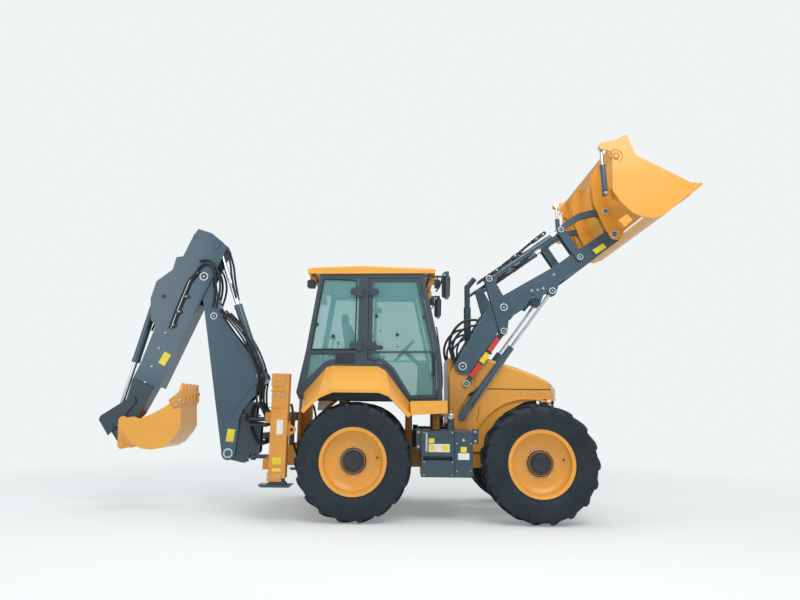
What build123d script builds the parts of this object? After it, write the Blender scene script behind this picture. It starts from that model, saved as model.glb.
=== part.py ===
from build123d import *

import os
from math import atan2, cos, degrees, hypot, radians, sin

# Backhoe loader with four equal wheels.
# Millimetres. +X forward, +Y to the machine's left, +Z up, ground at z = 0.
# Everything is laid out from the rear axle (x = 0) and moved along X only when it is
# written, so that the origin is under the middle of the whole machine.
# A point in the side view is (x, z). A width is a distance from the machine's middle plane.

os.makedirs("parts", exist_ok=True)

# ---------------------------------------------------------------- wheels and axles
WHEELBASE = 2132
TYRE_R = 670
TYRE_W = 398
WHEEL_Y = 864              # middle of a tyre
LUG_H = 30
LUG_W = 58
LUGS_PER_SIDE = 18
LUG_SWEEP = 12.5           # degrees round the tyre from the middle to the shoulder
TREAD_HALF = 178
RIM_R = 381                # flange
RIM_HALF = 160
BEAD_R = 356               # seat of the tyre's bead on the rim
DISC_R = 300
HUB_R = 150
HUB_OUT = 78               # hub's outer face, from the middle of the tyre
HUB_IN = 22
SEAT_GAP = 0.3
KINGPIN_Y = 700
KINGPIN_R = 45
AXLE_R = 95
KNUCKLE_HALF = 130
CHEEK_T = 40
DIFF_R = 190
PLAY = 0.05                # running clearance of a pin in its bore, on the radius
FACE_GAP = 6               # side clearance between pieces that turn past each other

# ---------------------------------------------------------------- chassis
RAIL_Y = 300
RAIL_T = 40
RAIL_LOW = 560
RAIL_HIGH = 800
ARCH_LOW = 865
ARCH_HIGH = 1020
CHASSIS_REAR = -900
CHASSIS_FRONT = WHEELBASE + 248
PANEL_OUT = 370            # outer face of the engine bay's side panels
PANEL_T = 12
NOSE_X = CHASSIS_FRONT + 96
NOSE_LOW = 1080
HOOD_LOW = 1530
HOOD_REAR = 1472
HOOD_HINGE = (1480, 1900)
TANK_REAR = 775
TANK_FRONT = WHEELBASE - TYRE_R - 96
TANK_SEAM = 210            # seam between the two housings, behind the front face
TOWER_REAR = 1140          # rear face of the loader towers
TANK_OUT = 937
EXHAUST_X = 1385
EXHAUST_Y = -300
TOWER_IN = 422             # loader tower plates, between the arms' plates
TOWER_OUT = 458

# ---------------------------------------------------------------- loader pins, side view
ARM_PIVOT = (1299, 1794)
LINK_LOW_PIN = (1346, 1583)
LINK_HIGH_PIN = (1819, 2243)
ROCKER_PIVOT = (1824, 2545)
TILT_BASE_PIN = (1645, 2914)
LEVER_TOP_PIN = (2587, 3580)
LEVER_LOW_PIN = (2821, 3216)
BUCKET_HIGH_PIN = (3177, 3838)
BUCKET_LOW_PIN = (3278, 3527)
LIFT_BASE_PIN = (1295, 1193)
LIFT_EYE_PIN = (2450, 2770)
ARM_IN = 400
ARM_OUT = 480
ARM_MID = (ARM_IN + ARM_OUT) / 2
SLOT_HALF = 24             # half of the slot between an arm's two plates
OUTER_IN = 486             # plates that run outside an arm
OUTER_OUT = 502
INNER_IN = 378             # plates that run inside an arm
INNER_OUT = 394
TORQUE_TUBE = (2290, 2860)
TORQUE_TUBE_R = 80
PIN_R = 30
LEVER_PIN_R = 28
LINK_TIP_R = 40            # round end of a bucket link
PIN_HEAD = 14
EYE_HALF = 20              # half width of a cylinder's eye
LINK_LAYERS = ((402, 416), (464, 478))
CLEVIS_LAYERS = ((398, 414), (466, 482))
TILT_BARREL = 1017
TILT_BARREL_R = 37
TILT_ROD = 620
TILT_ROD_R = 22
LIFT_BARREL = 1057
LIFT_BARREL_R = 42
LIFT_ROD = 1018
LIFT_ROD_R = 21

# ---------------------------------------------------------------- loader bucket
BUCKET_HALF = 1121
JAW_PLATE_T = 25
JAW_PIVOT = (3119, 4335)
JAW_EYE = (2962, 4465)
JAW_CYL_BASE = (2990, 3880)
JAW_SIDE_GAP = 11          # between the back plate and the jaw's end plates
BACK_HALF = BUCKET_HALF - JAW_PLATE_T - JAW_SIDE_GAP
JAW_CYL_Y = BACK_HALF - 30
JAW_PIN_R = 25
JAW_CYL_PIN_R = 18
JAW_BARREL = 360
JAW_BARREL_R = 35
JAW_ROD = 300
JAW_ROD_R = 18

# ---------------------------------------------------------------- backhoe pins, side view
SWING_X = -1362
BOOM_FOOT = (-1662, 677)
BOOM_CYL_BASE = (-1420, 1235)
BOOM_CYL_EYE = (-1967, 2445)
KNEE_PIN = (-1313, 1666)
DIPPER_PIVOT = (-2129, 2976)
DIPPER_TAIL = (-1995, 3409)
CROWD_BASE = (-2774, 2767)
LEVER_PIN = (-2945, 1329)
CROWD_EYE = (-3193, 1005)
HOE_BUCKET_LINK_PIN = (-3015, 769)
HOE_BUCKET_PIN = (-3025, 1067)
BOOM_HALF = 108
BOOM_T = 20
DIPPER_HALF = 130          # the dipper's plates straddle the boom's head
DIPPER_T = 16
STICK_HALF = 100
HOE_BUCKET_HALF = 305
HOE_PIN_R = 32
DIPPER_PIN_R = 40
SWING_PIN_R = 35
HOE_BARREL_R = 53
HOE_ROD_R = 30
BOOM_BARREL = 1210
BOOM_ROD = 1240
DIPPER_BARREL = 1020
DIPPER_ROD = 960
CROWD_BARREL = 970
CROWD_ROD = 960
CROWD_ROD_R = 28
STICK_BACK = 43            # stick's front face, behind the dipper's front edge
STICK_DEPTH = 361
KING_IN = 64
KING_OUT = 82
LEVER_IN = 106
LEVER_OUT = 120
LINK_PLATE_IN = 74
LINK_PLATE_OUT = 98
EAR_IN = 126
EAR_OUT = 144
TOOTH_TIP = 1549
LUG_LAYERS = ((612, 659), (1080, 1134))

# ---------------------------------------------------------------- stabilisers
POST_REAR = -946
POST_FRONT = -756
POST_IN = 890
POST_OUT = 1031
POST_LOW = 480
POST_HIGH = 1645
POST_WALL = 10
LEG_GAP = 7
SLIDE_PLAY = 0.5
PAD_LOW = 382
PAD_T = 28
PAD_REAR = -1050
PAD_FRONT = -674
TIE_EYE = (-712, 1010)
TIE_EYE_R = 20
SLIDE_REAR = -1040         # rear faces of the rails that the backhoe slides on
SLIDE_T = 100
SLIDE_H = 120
SLIDE_LOW = 560
SLIDE_HIGH = 1200
CARRIAGE_T = 34
CARRIAGE_HALF = 300

# ---------------------------------------------------------------- cab
CAB_HALF = 700
CAB_T = 50
CAB_LOW = 1240
CAB_REAR_LOW = 1362       # clears the rear tyres
FLOOR_Z = 1300
PLATFORM_Z = 1560
SCREEN_TOP = 2870
SCREEN_LOW = 1500
SCREEN_HALF = 620
REAR_TOP = 2840
REAR_LOW = 1960
GLASS_T = 6
FENDER_OUT = 1063
FENDER_T = 10
DOOR_HINGE_X = 66
HINGE_Y = CAB_HALF + 14
HINGE_Z = (1989, 2673)
HINGE_PIN_R = 7
DOOR_T = 46
DOOR_GAP = 8
DOOR_FRAME = 45
ROOF_TOP = 3020


def slab(outline, y_low, y_high, mode=Mode.ADD, rounding=0, inset=0):
    """Add a plate with this side outline between two widths."""
    with BuildSketch(Plane.XZ.offset(-y_high)) as face:
        with BuildLine():
            Polyline(*outline, close=True)
        make_face()
        if inset:
            offset(amount=-inset, kind=Kind.INTERSECTION, mode=Mode.REPLACE)
        if rounding:
            fillet(face.vertices(), rounding)
    extrude(face.sketch, amount=y_high - y_low, mode=mode)


def disc(centre, radius, y_low, y_high, mode=Mode.ADD):
    """Add a round boss or pin across the machine, between two widths."""
    with BuildSketch(Plane.XZ.offset(-y_high)) as face:
        with Locations(centre):
            Circle(radius)
    extrude(face.sketch, amount=y_high - y_low, mode=mode)


def link_bar(start, end, width, y_low, y_high, mode=Mode.ADD):
    """Add a flat bar with round ends about two pins."""
    run = hypot(end[0] - start[0], end[1] - start[1])
    turn = degrees(atan2(end[1] - start[1], end[0] - start[0]))
    with BuildSketch(Plane.XZ.offset(-y_high)) as face:
        with Locations(((start[0] + end[0]) / 2, (start[1] + end[1]) / 2)):
            SlotCenterToCenter(run, width, rotation=turn)
    extrude(face.sketch, amount=y_high - y_low, mode=mode)


def along(start, end, distance):
    """The point this far from start towards end."""
    run = hypot(end[0] - start[0], end[1] - start[1])
    share = distance / run
    return (start[0] + (end[0] - start[0]) * share, start[1] + (end[1] - start[1]) * share)


def span(start, end):
    return hypot(end[0] - start[0], end[1] - start[1])


def round_bar(start, end, radius, y, mode=Mode.ADD):
    """Add a round bar between two side points at one width."""
    plane = Plane(
        origin=(start[0], y, start[1]),
        x_dir=(0, 1, 0),
        z_dir=(end[0] - start[0], 0, end[1] - start[1]),
    )
    with BuildSketch(plane) as face:
        Circle(radius)
    extrude(face.sketch, amount=span(start, end), mode=mode)


def box(x_low, x_high, y_low, y_high, z_low, z_high, mode=Mode.ADD):
    """Add a plain block between six faces."""
    with BuildSketch(Plane.XY.offset(z_low)) as face:
        with Locations(((x_low + x_high) / 2, (y_low + y_high) / 2)):
            Rectangle(x_high - x_low, y_high - y_low)
    extrude(face.sketch, amount=z_high - z_low, mode=mode)


def drill(centre, radius, y_low, y_high):
    """Bore across the machine, between two widths."""
    disc(centre, radius + PLAY, y_low, y_high, Mode.SUBTRACT)


def strut(start, end, near, far, radius, y, mode=Mode.ADD):
    """A round bar between two distances from start on the line to end."""
    round_bar(along(start, end, near), along(start, end, far), radius, y, mode)


finished = {}


def keep(builder, name):
    finished[name] = builder.part


# ================================================================ wheels
def make_tyre():
    """One tyre about the Y axis, at the origin: carcass and two rows of swept lugs."""
    carcass_r = TYRE_R - LUG_H
    with BuildPart() as tyre:
        with BuildSketch(Plane.YZ) as section:
            with BuildLine():
                Polyline(
                    (-RIM_HALF + 14, BEAD_R + SEAT_GAP),
                    (-RIM_HALF + 14, RIM_R + 14),
                    (-TYRE_W / 2 + 4, 490),
                    (-TYRE_W / 2, 550),
                    (-TREAD_HALF - 6, carcass_r - 34),
                    (-TREAD_HALF + 30, carcass_r),
                    (TREAD_HALF - 30, carcass_r),
                    (TREAD_HALF + 6, carcass_r - 34),
                    (TYRE_W / 2, 550),
                    (TYRE_W / 2 - 4, 490),
                    (RIM_HALF - 14, RIM_R + 14),
                    (RIM_HALF - 14, BEAD_R + SEAT_GAP),
                    close=True,
                )
            make_face()
        revolve(section.sketch, axis=Axis.Y)
        base = carcass_r - 40
        reach = radians(LUG_SWEEP) * carcass_r / 2
        for hand in (-1, 1):
            for turn in range(LUGS_PER_SIDE):
                start = 360 / LUGS_PER_SIDE * (turn + (0.5 if hand > 0 else 0))
                middle = radians(start + LUG_SWEEP / 2)
                up = (sin(middle), 0, cos(middle))
                lug_plane = Plane(origin=(up[0] * base, 0, up[2] * base), x_dir=(0, 1, 0), z_dir=up)
                with BuildSketch(lug_plane) as foot:
                    with BuildLine():
                        Polyline(
                            (hand * -14, -reach - LUG_W / 2),
                            (hand * -14, -reach + LUG_W / 2),
                            (hand * TREAD_HALF, reach + LUG_W / 2),
                            (hand * TREAD_HALF, reach - LUG_W / 2),
                            close=True,
                        )
                    make_face()
                extrude(foot.sketch, amount=TYRE_R - 8 - base)
    return tyre.part


def make_rim():
    """One rim with its disc and hub about the Y axis, its outer face towards +Y."""
    with BuildPart() as rim:
        with BuildSketch(Plane.YZ) as section:
            with BuildLine():
                Polyline(
                    (-RIM_HALF, RIM_R),
                    (-RIM_HALF + 12, RIM_R),
                    (-RIM_HALF + 12, BEAD_R),
                    (RIM_HALF - 12, BEAD_R),
                    (RIM_HALF - 12, RIM_R),
                    (RIM_HALF, RIM_R),
                    (RIM_HALF, BEAD_R - 14),
                    (95, BEAD_R - 14),
                    (70, DISC_R + 24),
                    (45, DISC_R - 20),
                    (38, 240),
                    (38, HUB_R + 20),
                    (52, HUB_R + 8),
                    (HUB_OUT - 22, HUB_R),
                    (HUB_OUT, HUB_R - 18),
                    (HUB_OUT, 0),
                    (HUB_IN, 0),
                    (HUB_IN, 240),
                    (28, DISC_R - 20),
                    (52, DISC_R + 24),
                    (60, BEAD_R - 14),
                    (-RIM_HALF, BEAD_R - 14),
                    close=True,
                )
            make_face()
        revolve(section.sketch, axis=Axis.Y)
    return rim.part


AXLES = ((0, "rear"), (WHEELBASE, "front"))
SIDES = ((-1, "right"), (1, "left"))

tyre_shape = make_tyre()
rim_shape = make_rim()
for x, end in AXLES:
    for side, hand in SIDES:
        finished[f"tyre_{end}_{hand}"] = tyre_shape.moved(Location((x, side * WHEEL_Y, TYRE_R)))
        half_turn = 0 if side > 0 else 180
        finished[f"rim_{end}_{hand}"] = rim_shape.moved(
            Location((x, side * WHEEL_Y, TYRE_R), (0, 0, half_turn)))

# A knuckle: two cheeks on a kingpin, and the stub that carries the wheel's hub.
for x, end in AXLES:
    for side, hand in SIDES:
        with BuildPart() as knuckle:
            for low in (TYRE_R - KNUCKLE_HALF, TYRE_R + KNUCKLE_HALF - CHEEK_T):
                with BuildSketch(Plane.XY.offset(low)) as cheek:
                    with Locations((x, side * KINGPIN_Y)):
                        Circle(80)
                    with Locations((x, side * (KINGPIN_Y + 60))):
                        Rectangle(160, 120)
                extrude(cheek.sketch, amount=CHEEK_T)
            y_in = side * (KINGPIN_Y + 92)
            y_flange = side * (KINGPIN_Y + 120)
            y_hub = side * (WHEEL_Y + HUB_IN - SEAT_GAP)
            box(x - 80, x + 80, min(y_in, y_flange), max(y_in, y_flange),
                TYRE_R - KNUCKLE_HALF, TYRE_R + KNUCKLE_HALF)
            disc((x, TYRE_R), 110, min(y_flange, y_hub), max(y_flange, y_hub))
            with BuildSketch(Plane.XY.offset(TYRE_R - KNUCKLE_HALF)) as kingpin:
                with Locations((x, side * KINGPIN_Y)):
                    Circle(KINGPIN_R)
            extrude(kingpin.sketch, amount=2 * KNUCKLE_HALF)
        keep(knuckle, f"knuckle_{end}_{hand}")

with BuildPart() as drivetrain:
    for x, end in AXLES:
        head_low = TYRE_R - KNUCKLE_HALF + CHEEK_T + FACE_GAP
        head_height = 2 * (KNUCKLE_HALF - CHEEK_T - FACE_GAP)
        for side, hand in SIDES:
            with BuildSketch(Plane.XY.offset(head_low)) as head:
                with Locations((x, side * KINGPIN_Y)):
                    Circle(75)
            extrude(head.sketch, amount=head_height)
        disc((x, TYRE_R), AXLE_R - 20, -KINGPIN_Y, KINGPIN_Y)
        disc((x, TYRE_R), AXLE_R, -420, 420)
        disc((x, TYRE_R), DIFF_R, -120, 120)
        # spring pads reach up into the frame's arches
        for side, hand in SIDES:
            box(x - 90, x + 90, side * 320 - 20, side * 320 + 20, TYRE_R, ARCH_LOW)
            with BuildSketch(Plane.XY.offset(head_low)) as bore:
                with Locations((x, side * KINGPIN_Y)):
                    Circle(KINGPIN_R + PLAY)
            extrude(bore.sketch, amount=head_height, mode=Mode.SUBTRACT)
    # engine, gearbox and drive shafts
    box(1480, WHEELBASE + 128, -260, 260, 1075, 1440)          # engine block
    box(1500, WHEELBASE + 108, -300, 300, 1060, 1075)
    box(560, 1180, -190, 190, 600, 1000)            # gearbox
    round_bar((DIFF_R + SEAT_GAP, 690), (560, 700), 45, 0)
    round_bar((1180, 700), (WHEELBASE - DIFF_R - SEAT_GAP, 690), 45, 0)
    box(1180, 1480, -150, 150, 820, 1075)
    box(1400, 1480, -150, 150, 1000, 1300)
keep(drivetrain, "drivetrain")

# ================================================================ chassis
with BuildPart() as frame:
    # each rail arches over both axles
    slab([
        (CHASSIS_REAR, RAIL_LOW), (-260, RAIL_LOW), (-200, ARCH_LOW), (200, ARCH_LOW),
        (260, RAIL_LOW), (WHEELBASE - 330, RAIL_LOW), (WHEELBASE - 240, ARCH_LOW),
        (WHEELBASE + 200, ARCH_LOW), (CHASSIS_FRONT, 700), (CHASSIS_FRONT, 1060),
        (WHEELBASE - 240, 1060), (WHEELBASE - 420, RAIL_HIGH), (420, RAIL_HIGH),
        (260, ARCH_HIGH), (-260, ARCH_HIGH), (-420, RAIL_HIGH), (CHASSIS_REAR, RAIL_HIGH)],
        RAIL_Y, RAIL_Y + RAIL_T)
    for x_low, x_high, z_low, z_high in (
        (-700, -620, RAIL_LOW + 20, RAIL_HIGH - 20),
        (300, 380, RAIL_LOW + 20, RAIL_HIGH - 20),
        (1240, 1340, RAIL_LOW + 20, RAIL_HIGH - 20),
        (CHASSIS_FRONT - 60, CHASSIS_FRONT, 700, 1060),
    ):
        box(x_low, x_high, 0, RAIL_Y, z_low, z_high)
    # columns under the cab's floor
    for x_low, z_low, z_high in ((-240, ARCH_HIGH, CAB_REAR_LOW), (600, RAIL_HIGH, CAB_LOW),
                                 (940, RAIL_HIGH, CAB_LOW)):
        box(x_low, x_low + 80, RAIL_Y, RAIL_Y + RAIL_T, z_low, z_high - SEAT_GAP)
    # loader towers
    slab([(TOWER_REAR, 640), (TOWER_REAR, 1700), (1214, 1830), (1384, 1830), (1400, 1640), (1404, 1500),
          (1290, 1320), (1240, 1240), (1350, 1120), (1350, 640)], TOWER_IN, TOWER_OUT)
    disc(ARM_PIVOT, 85, TOWER_IN, TOWER_OUT)
    disc(LIFT_BASE_PIN, 58, TOWER_IN, TOWER_OUT)
    disc(LINK_LOW_PIN, 50, TOWER_IN, TOWER_OUT)
    box(TOWER_REAR, 1350, RAIL_Y + RAIL_T, TOWER_OUT, 640, 690)
    box(TOWER_REAR, TOWER_REAR + 40, RAIL_Y + RAIL_T, TOWER_OUT, 690, 980)
    for pin in (ARM_PIVOT, LIFT_BASE_PIN, LINK_LOW_PIN):
        drill(pin, PIN_R, TOWER_IN, TOWER_OUT)
    # the weight at the nose, which carries the grille
    box(CHASSIS_FRONT, NOSE_X, 0, 330, 640, NOSE_LOW)
    mirror(about=Plane.XZ)
    # the cross members let the drive shafts through
    round_bar((180, 692), (WHEELBASE - 180, 692), 62, 0, Mode.SUBTRACT)
keep(frame, "frame")

with BuildPart() as rear_frame:
    # two rails between the stabiliser posts
    for z_low, z_high in ((SLIDE_LOW, SLIDE_LOW + SLIDE_H), (SLIDE_HIGH - SLIDE_H, SLIDE_HIGH)):
        box(SLIDE_REAR, SLIDE_REAR + SLIDE_T, 0, POST_IN, z_low, z_high)
    box(CHASSIS_REAR - 40, CHASSIS_REAR, 150, 340, SLIDE_LOW, SLIDE_HIGH)
    box(POST_REAR, POST_FRONT, POST_IN, POST_OUT, POST_LOW, POST_HIGH)
    box(POST_REAR + POST_WALL, POST_FRONT - POST_WALL, POST_IN + POST_WALL,
        POST_OUT - POST_WALL, POST_LOW, POST_HIGH - POST_WALL, Mode.SUBTRACT)
    # wear strips hold the leg in its post
    leg_x = (POST_REAR + POST_FRONT) / 2
    leg_y = (POST_IN + POST_OUT) / 2
    strip = LEG_GAP - SLIDE_PLAY
    for x in (POST_REAR + POST_WALL, POST_FRONT - POST_WALL - strip):
        box(x, x + strip, leg_y - 30, leg_y + 30, POST_LOW, POST_LOW + 200)
    for y in (POST_IN + POST_WALL, POST_OUT - POST_WALL - strip):
        box(leg_x - 30, leg_x + 30, y, y + strip, POST_LOW, POST_LOW + 200)
    box(POST_REAR + 20, POST_REAR + 60, 700, POST_IN, SLIDE_LOW, SLIDE_HIGH)
    # tie-down eye on the front of each post
    eye_low = leg_y - 10
    slab([(POST_FRONT, 930), (POST_FRONT, 1090), (TIE_EYE[0] + 20, 1050), (TIE_EYE[0] + 20, 970)],
         eye_low, eye_low + 20)
    disc(TIE_EYE, 46, eye_low, eye_low + 20)
    disc(TIE_EYE, TIE_EYE_R, eye_low, eye_low + 20, Mode.SUBTRACT)
    mirror(about=Plane.XZ)
keep(rear_frame, "rear_frame")

with BuildPart() as side_tanks:
    box(TANK_REAR, TANK_FRONT, 480, TANK_OUT, 500, 1025)
    outer = side_tanks.edges().filter_by(Axis.X).group_by(Axis.Y)[-1]
    fillet(outer, 30)
    # a step let into the lower part of the rear half, and the seam between two housings
    seam = TANK_FRONT - TANK_SEAM
    box(TANK_REAR + 20, seam - 26, TANK_OUT - 90, TANK_OUT, 690, 735, Mode.SUBTRACT)
    box(seam - 6, seam, TANK_OUT - 12, TANK_OUT, 500, 1025, Mode.SUBTRACT)
    box(TANK_REAR + 25, TOWER_REAR - 20, RAIL_Y + RAIL_T, 480, 620, 780)
    # filler neck
    with BuildSketch(Plane.XY.offset(1025)) as neck:
        with Locations((seam - 36, TANK_OUT - 110)):
            Circle(48)
    extrude(neck.sketch, amount=130, taper=6)
    mirror(about=Plane.XZ)
keep(side_tanks, "side_tanks")

with BuildPart() as exhaust:
    for z_low, height, radius in ((1900, 960, 36), (2150, 420, 46)):
        with BuildSketch(Plane.XY.offset(z_low)) as pipe:
            with Locations((EXHAUST_X, EXHAUST_Y)):
                Circle(radius)
        extrude(pipe.sketch, amount=height)
    tip_plane = Plane(origin=(EXHAUST_X, EXHAUST_Y, 2840), x_dir=(0, 1, 0), z_dir=(1, 0, 1.2))
    with BuildSketch(tip_plane) as tip:
        Circle(36)
    extrude(tip.sketch, amount=150)
keep(exhaust, "exhaust")


def fender_half(profile, lip):
    """Ruled skin from the cab's wall to the outer lip, then the lip's turned-down edge."""
    for_wall = profile + [along(p, (0, TYRE_R), FENDER_T) for p in reversed(profile)]
    for_lip = lip + [along(p, (0, TYRE_R), FENDER_T) for p in reversed(lip)]
    with BuildSketch(Plane.XZ.offset(-CAB_HALF - SEAT_GAP)) as inner:
        with BuildLine():
            Polyline(*for_wall, close=True)
        make_face()
    with BuildSketch(Plane.XZ.offset(-FENDER_OUT)) as outer:
        with BuildLine():
            Polyline(*for_lip, close=True)
        make_face()
    loft([inner.sketch.face(), outer.sketch.face()], ruled=True)
    deep = lip + [along(p, (0, TYRE_R), 40) for p in reversed(lip)]
    slab(deep, FENDER_OUT - 8, FENDER_OUT)


with BuildPart() as body_panels:
    slab([(1130, 1090), (1130, 1700), (1466, 1740), (1466, HOOD_LOW - 6), (NOSE_X, HOOD_LOW - 6),
          (NOSE_X, 1385), (WHEELBASE + 202, 1407), (WHEELBASE - 49, 1367), (WHEELBASE - 301, 1229),
          (WHEELBASE - 490, 1020), (WHEELBASE - 570, 755), (1300, 755)], PANEL_OUT - PANEL_T, PANEL_OUT)
    box(1320, 1420, RAIL_Y + RAIL_T, PANEL_OUT, 760, 800)
    box(1130, 1142, 0, PANEL_OUT, 1090, 1900)
    box(1142, 1466, 0, PANEL_OUT, 1888, 1900)
    slab([(1130, 1700), (1130, 1900), (1466, 1900), (1466, 1740)], PANEL_OUT - PANEL_T, PANEL_OUT)
    # hinge pins of the hood
    slab([(1440, 1888), (1440, 1893), (1466, 1899), (HOOD_HINGE[0], HOOD_HINGE[1] + 12),
          (HOOD_HINGE[0], HOOD_HINGE[1] - 12)], 150, 165)
    disc(HOOD_HINGE, 12, 150, 165)
    disc(HOOD_HINGE, 8, 150, 225)
    # fenders, then the sill panel under the door
    fender_half(
        [(-650, 1233), (-635, 1433), (-371, 1744), (-304, 1766), (249, 1766), (346, 1713),
         (640, 1336)],
        [(-602, 1226), (-540, 1290), (-414, 1408), (-259, 1476), (292, 1476), (411, 1433),
         (649, 1192)])
    slab([(649, 1192), (640, 1336), (655, 1350), (1068, 1361), (1068, 1221)],
         CAB_HALF + SEAT_GAP, FENDER_OUT - 30)
    slab([(668, 1100), (668, 1340), (1056, 1349), (1056, 1100)],
         CAB_HALF + 20, FENDER_OUT - 42, Mode.SUBTRACT)
    mirror(about=Plane.XZ)
keep(body_panels, "body_panels")

# ================================================================ hood
with BuildPart() as hood:
    hood_length = NOSE_X - HOOD_REAR
    top = [(HOOD_REAR + share * hood_length, z) for share, z in (
        (0, 1930), (0.1474, 1920), (0.3068, 1862), (0.5568, 1788), (0.8038, 1690),
        (0.9243, 1625), (0.9641, 1590))]
    slab([(HOOD_REAR, HOOD_LOW)] + top + [(NOSE_X - 6, HOOD_LOW)], -PANEL_OUT, PANEL_OUT)
    upper = hood.edges().filter_by(GeomType.LINE).filter_by(
        lambda e: abs(abs(e.center().Y) - PANEL_OUT) < 1 and e.center().Z > 1560
        and e.center().X > 1480)
    fillet(upper, 45)
    for half, drop in ((PANEL_OUT - 50, PANEL_T), (PANEL_OUT - PANEL_T, 62)):
        inner = [(x, z - drop) for x, z in top[1:-1]]
        slab([(1460, 1520), (1460, 1930 - drop), (1484, 1930 - drop)] + inner
             + [(NOSE_X - 46, 1588 - drop), (NOSE_X - 20, 1520)], -half, half, Mode.SUBTRACT)
    for side, hand in SIDES:
        low, high = sorted((side * 171, side * 219))
        disc(HOOD_HINGE, 14, low, high)
        slab([(HOOD_HINGE[0] - 6, 1900), (HOOD_HINGE[0] - 6, 1922), (HOOD_HINGE[0] + 60, 1918),
              (HOOD_HINGE[0] + 14, 1896)], low, high)
        drill(HOOD_HINGE, 8, low, high)
keep(hood, "hood")

with BuildPart() as grille:
    for step in range(7):
        z = NOSE_LOW + 20 + step * 60
        slab([(NOSE_X - 36, z), (NOSE_X - 8, z + 10), (NOSE_X - 8, z + 40), (NOSE_X - 36, z + 30)],
             -330, 330)
    for y in (-330, -6, 318):
        box(NOSE_X - 40, NOSE_X - 16, y, y + 12, NOSE_LOW, 1515)
    for y in (-330, 230):
        box(NOSE_X - 42, NOSE_X - 2, y, y + 100, 1420, 1500)
keep(grille, "grille")

# ================================================================ cab
CAB_OUTLINE = [(-727, 1441), (-631, 1940), (-492, 2902), (797, 2927), (1012, 1934), (1040, 1300),
               (1040, CAB_LOW), (580, CAB_LOW), (500, CAB_REAR_LOW), (-690, CAB_REAR_LOW)]
DOOR_OPENING = [(118, 1850), (118, 2862), (752, 2872), (960, 1934), (975, 1385), (625, 1368),
                (400, 1720), (300, 1800)]
REAR_WINDOW = [(-560, 1960), (-436, 2842), (0, 2850), (0, 1960)]
LOW_WINDOW = [(-604, 1600), (-570, 1900), (-60, 1900), (-60, 1840), (-330, 1840), (-420, 1790)]
with BuildPart() as cab_shell:
    slab(CAB_OUTLINE, -CAB_HALF, CAB_HALF)
    slab([(-640, PLATFORM_Z), (-575, 1930), (-440, 2850), (755, 2875), (955, 1934), (985, FLOOR_Z),
          (420, FLOOR_Z), (300, PLATFORM_Z)], -CAB_HALF + CAB_T, CAB_HALF - CAB_T, Mode.SUBTRACT)
    # open space under the floor
    slab([(-650, 1300), (-620, PLATFORM_Z - 20), (288, PLATFORM_Z - 20), (408, 1350), (400, 1300)],
         -CAB_HALF + CAB_T, CAB_HALF - CAB_T, Mode.SUBTRACT)
    for outline in (REAR_WINDOW, LOW_WINDOW, DOOR_OPENING):
        slab(outline, -CAB_HALF - 1, CAB_HALF + 1, Mode.SUBTRACT)
    # windscreen and rear window
    slab([(700, SCREEN_TOP), (900, SCREEN_TOP), (1100, 1980), (1100, SCREEN_LOW),
          (900, SCREEN_LOW), (900, 1934)], -SCREEN_HALF, SCREEN_HALF, Mode.SUBTRACT)
    slab([(-420, REAR_TOP), (-600, REAR_TOP), (-740, REAR_LOW), (-500, REAR_LOW)],
         -SCREEN_HALF, SCREEN_HALF, Mode.SUBTRACT)
    # hinge barrels of the doors and the mirrors' arms
    for side, hand in SIDES:
        for z in HINGE_Z:
            y_wall = side * CAB_HALF
            y_strap = side * (CAB_HALF + 6)
            box(DOOR_HINGE_X - 46, DOOR_HINGE_X, min(y_wall, y_strap), max(y_wall, y_strap),
                z - 40, z - 2)
            with BuildSketch(Plane.XY.offset(z - 40)) as barrel:
                with Locations((DOOR_HINGE_X, side * HINGE_Y)):
                    Circle(12)
            extrude(barrel.sketch, amount=38)
            with BuildSketch(Plane.XY.offset(z - 40)) as pin:
                with Locations((DOOR_HINGE_X, side * HINGE_Y)):
                    Circle(HINGE_PIN_R)
            extrude(pin.sketch, amount=80)
        y_arm = side * (CAB_HALF - 30)
        y_head = side * (CAB_HALF + 100)
        box(780, 1095, y_arm - 12, y_arm + 12, 2884, 2908)
        box(1071, 1095, min(y_arm, y_head), max(y_arm, y_head), 2884, 2908)
        y_low, y_high = sorted((side * (CAB_HALF + 10), side * (CAB_HALF + 170)))
        box(1060, 1100, y_low, y_high, 2600, 2920)
keep(cab_shell, "cab_shell")

with BuildPart() as cab_roof:
    slab([(-640, 2908), (-650, 2960), (-560, 2990), (28, ROOF_TOP), (880, 2998), (950, 2970),
          (940, 2928.3), (797, 2927.3), (-492, 2902.3)], -CAB_HALF - 20, CAB_HALF + 20)
    rim_edges = cab_roof.edges().filter_by(GeomType.LINE).filter_by(
        lambda e: abs(abs(e.center().Y) - CAB_HALF - 20) < 1 and e.center().Z > 2985)
    fillet(rim_edges, 30)
    slab([(-600, 2890), (-600, 2950), (28, 2988), (860, 2968), (900, 2900)],
         -CAB_HALF + 20, CAB_HALF - 20, Mode.SUBTRACT)
    # work lamps under the roof's ends
    for side, hand in SIDES:
        low, high = sorted((side * 420, side * 560))
        box(880, 960, low, high, 2840, 2930)
        low, high = sorted((side * 440, side * 540))
        box(-640, -560, low, high, 2810, 2912)
keep(cab_roof, "cab_roof")

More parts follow.
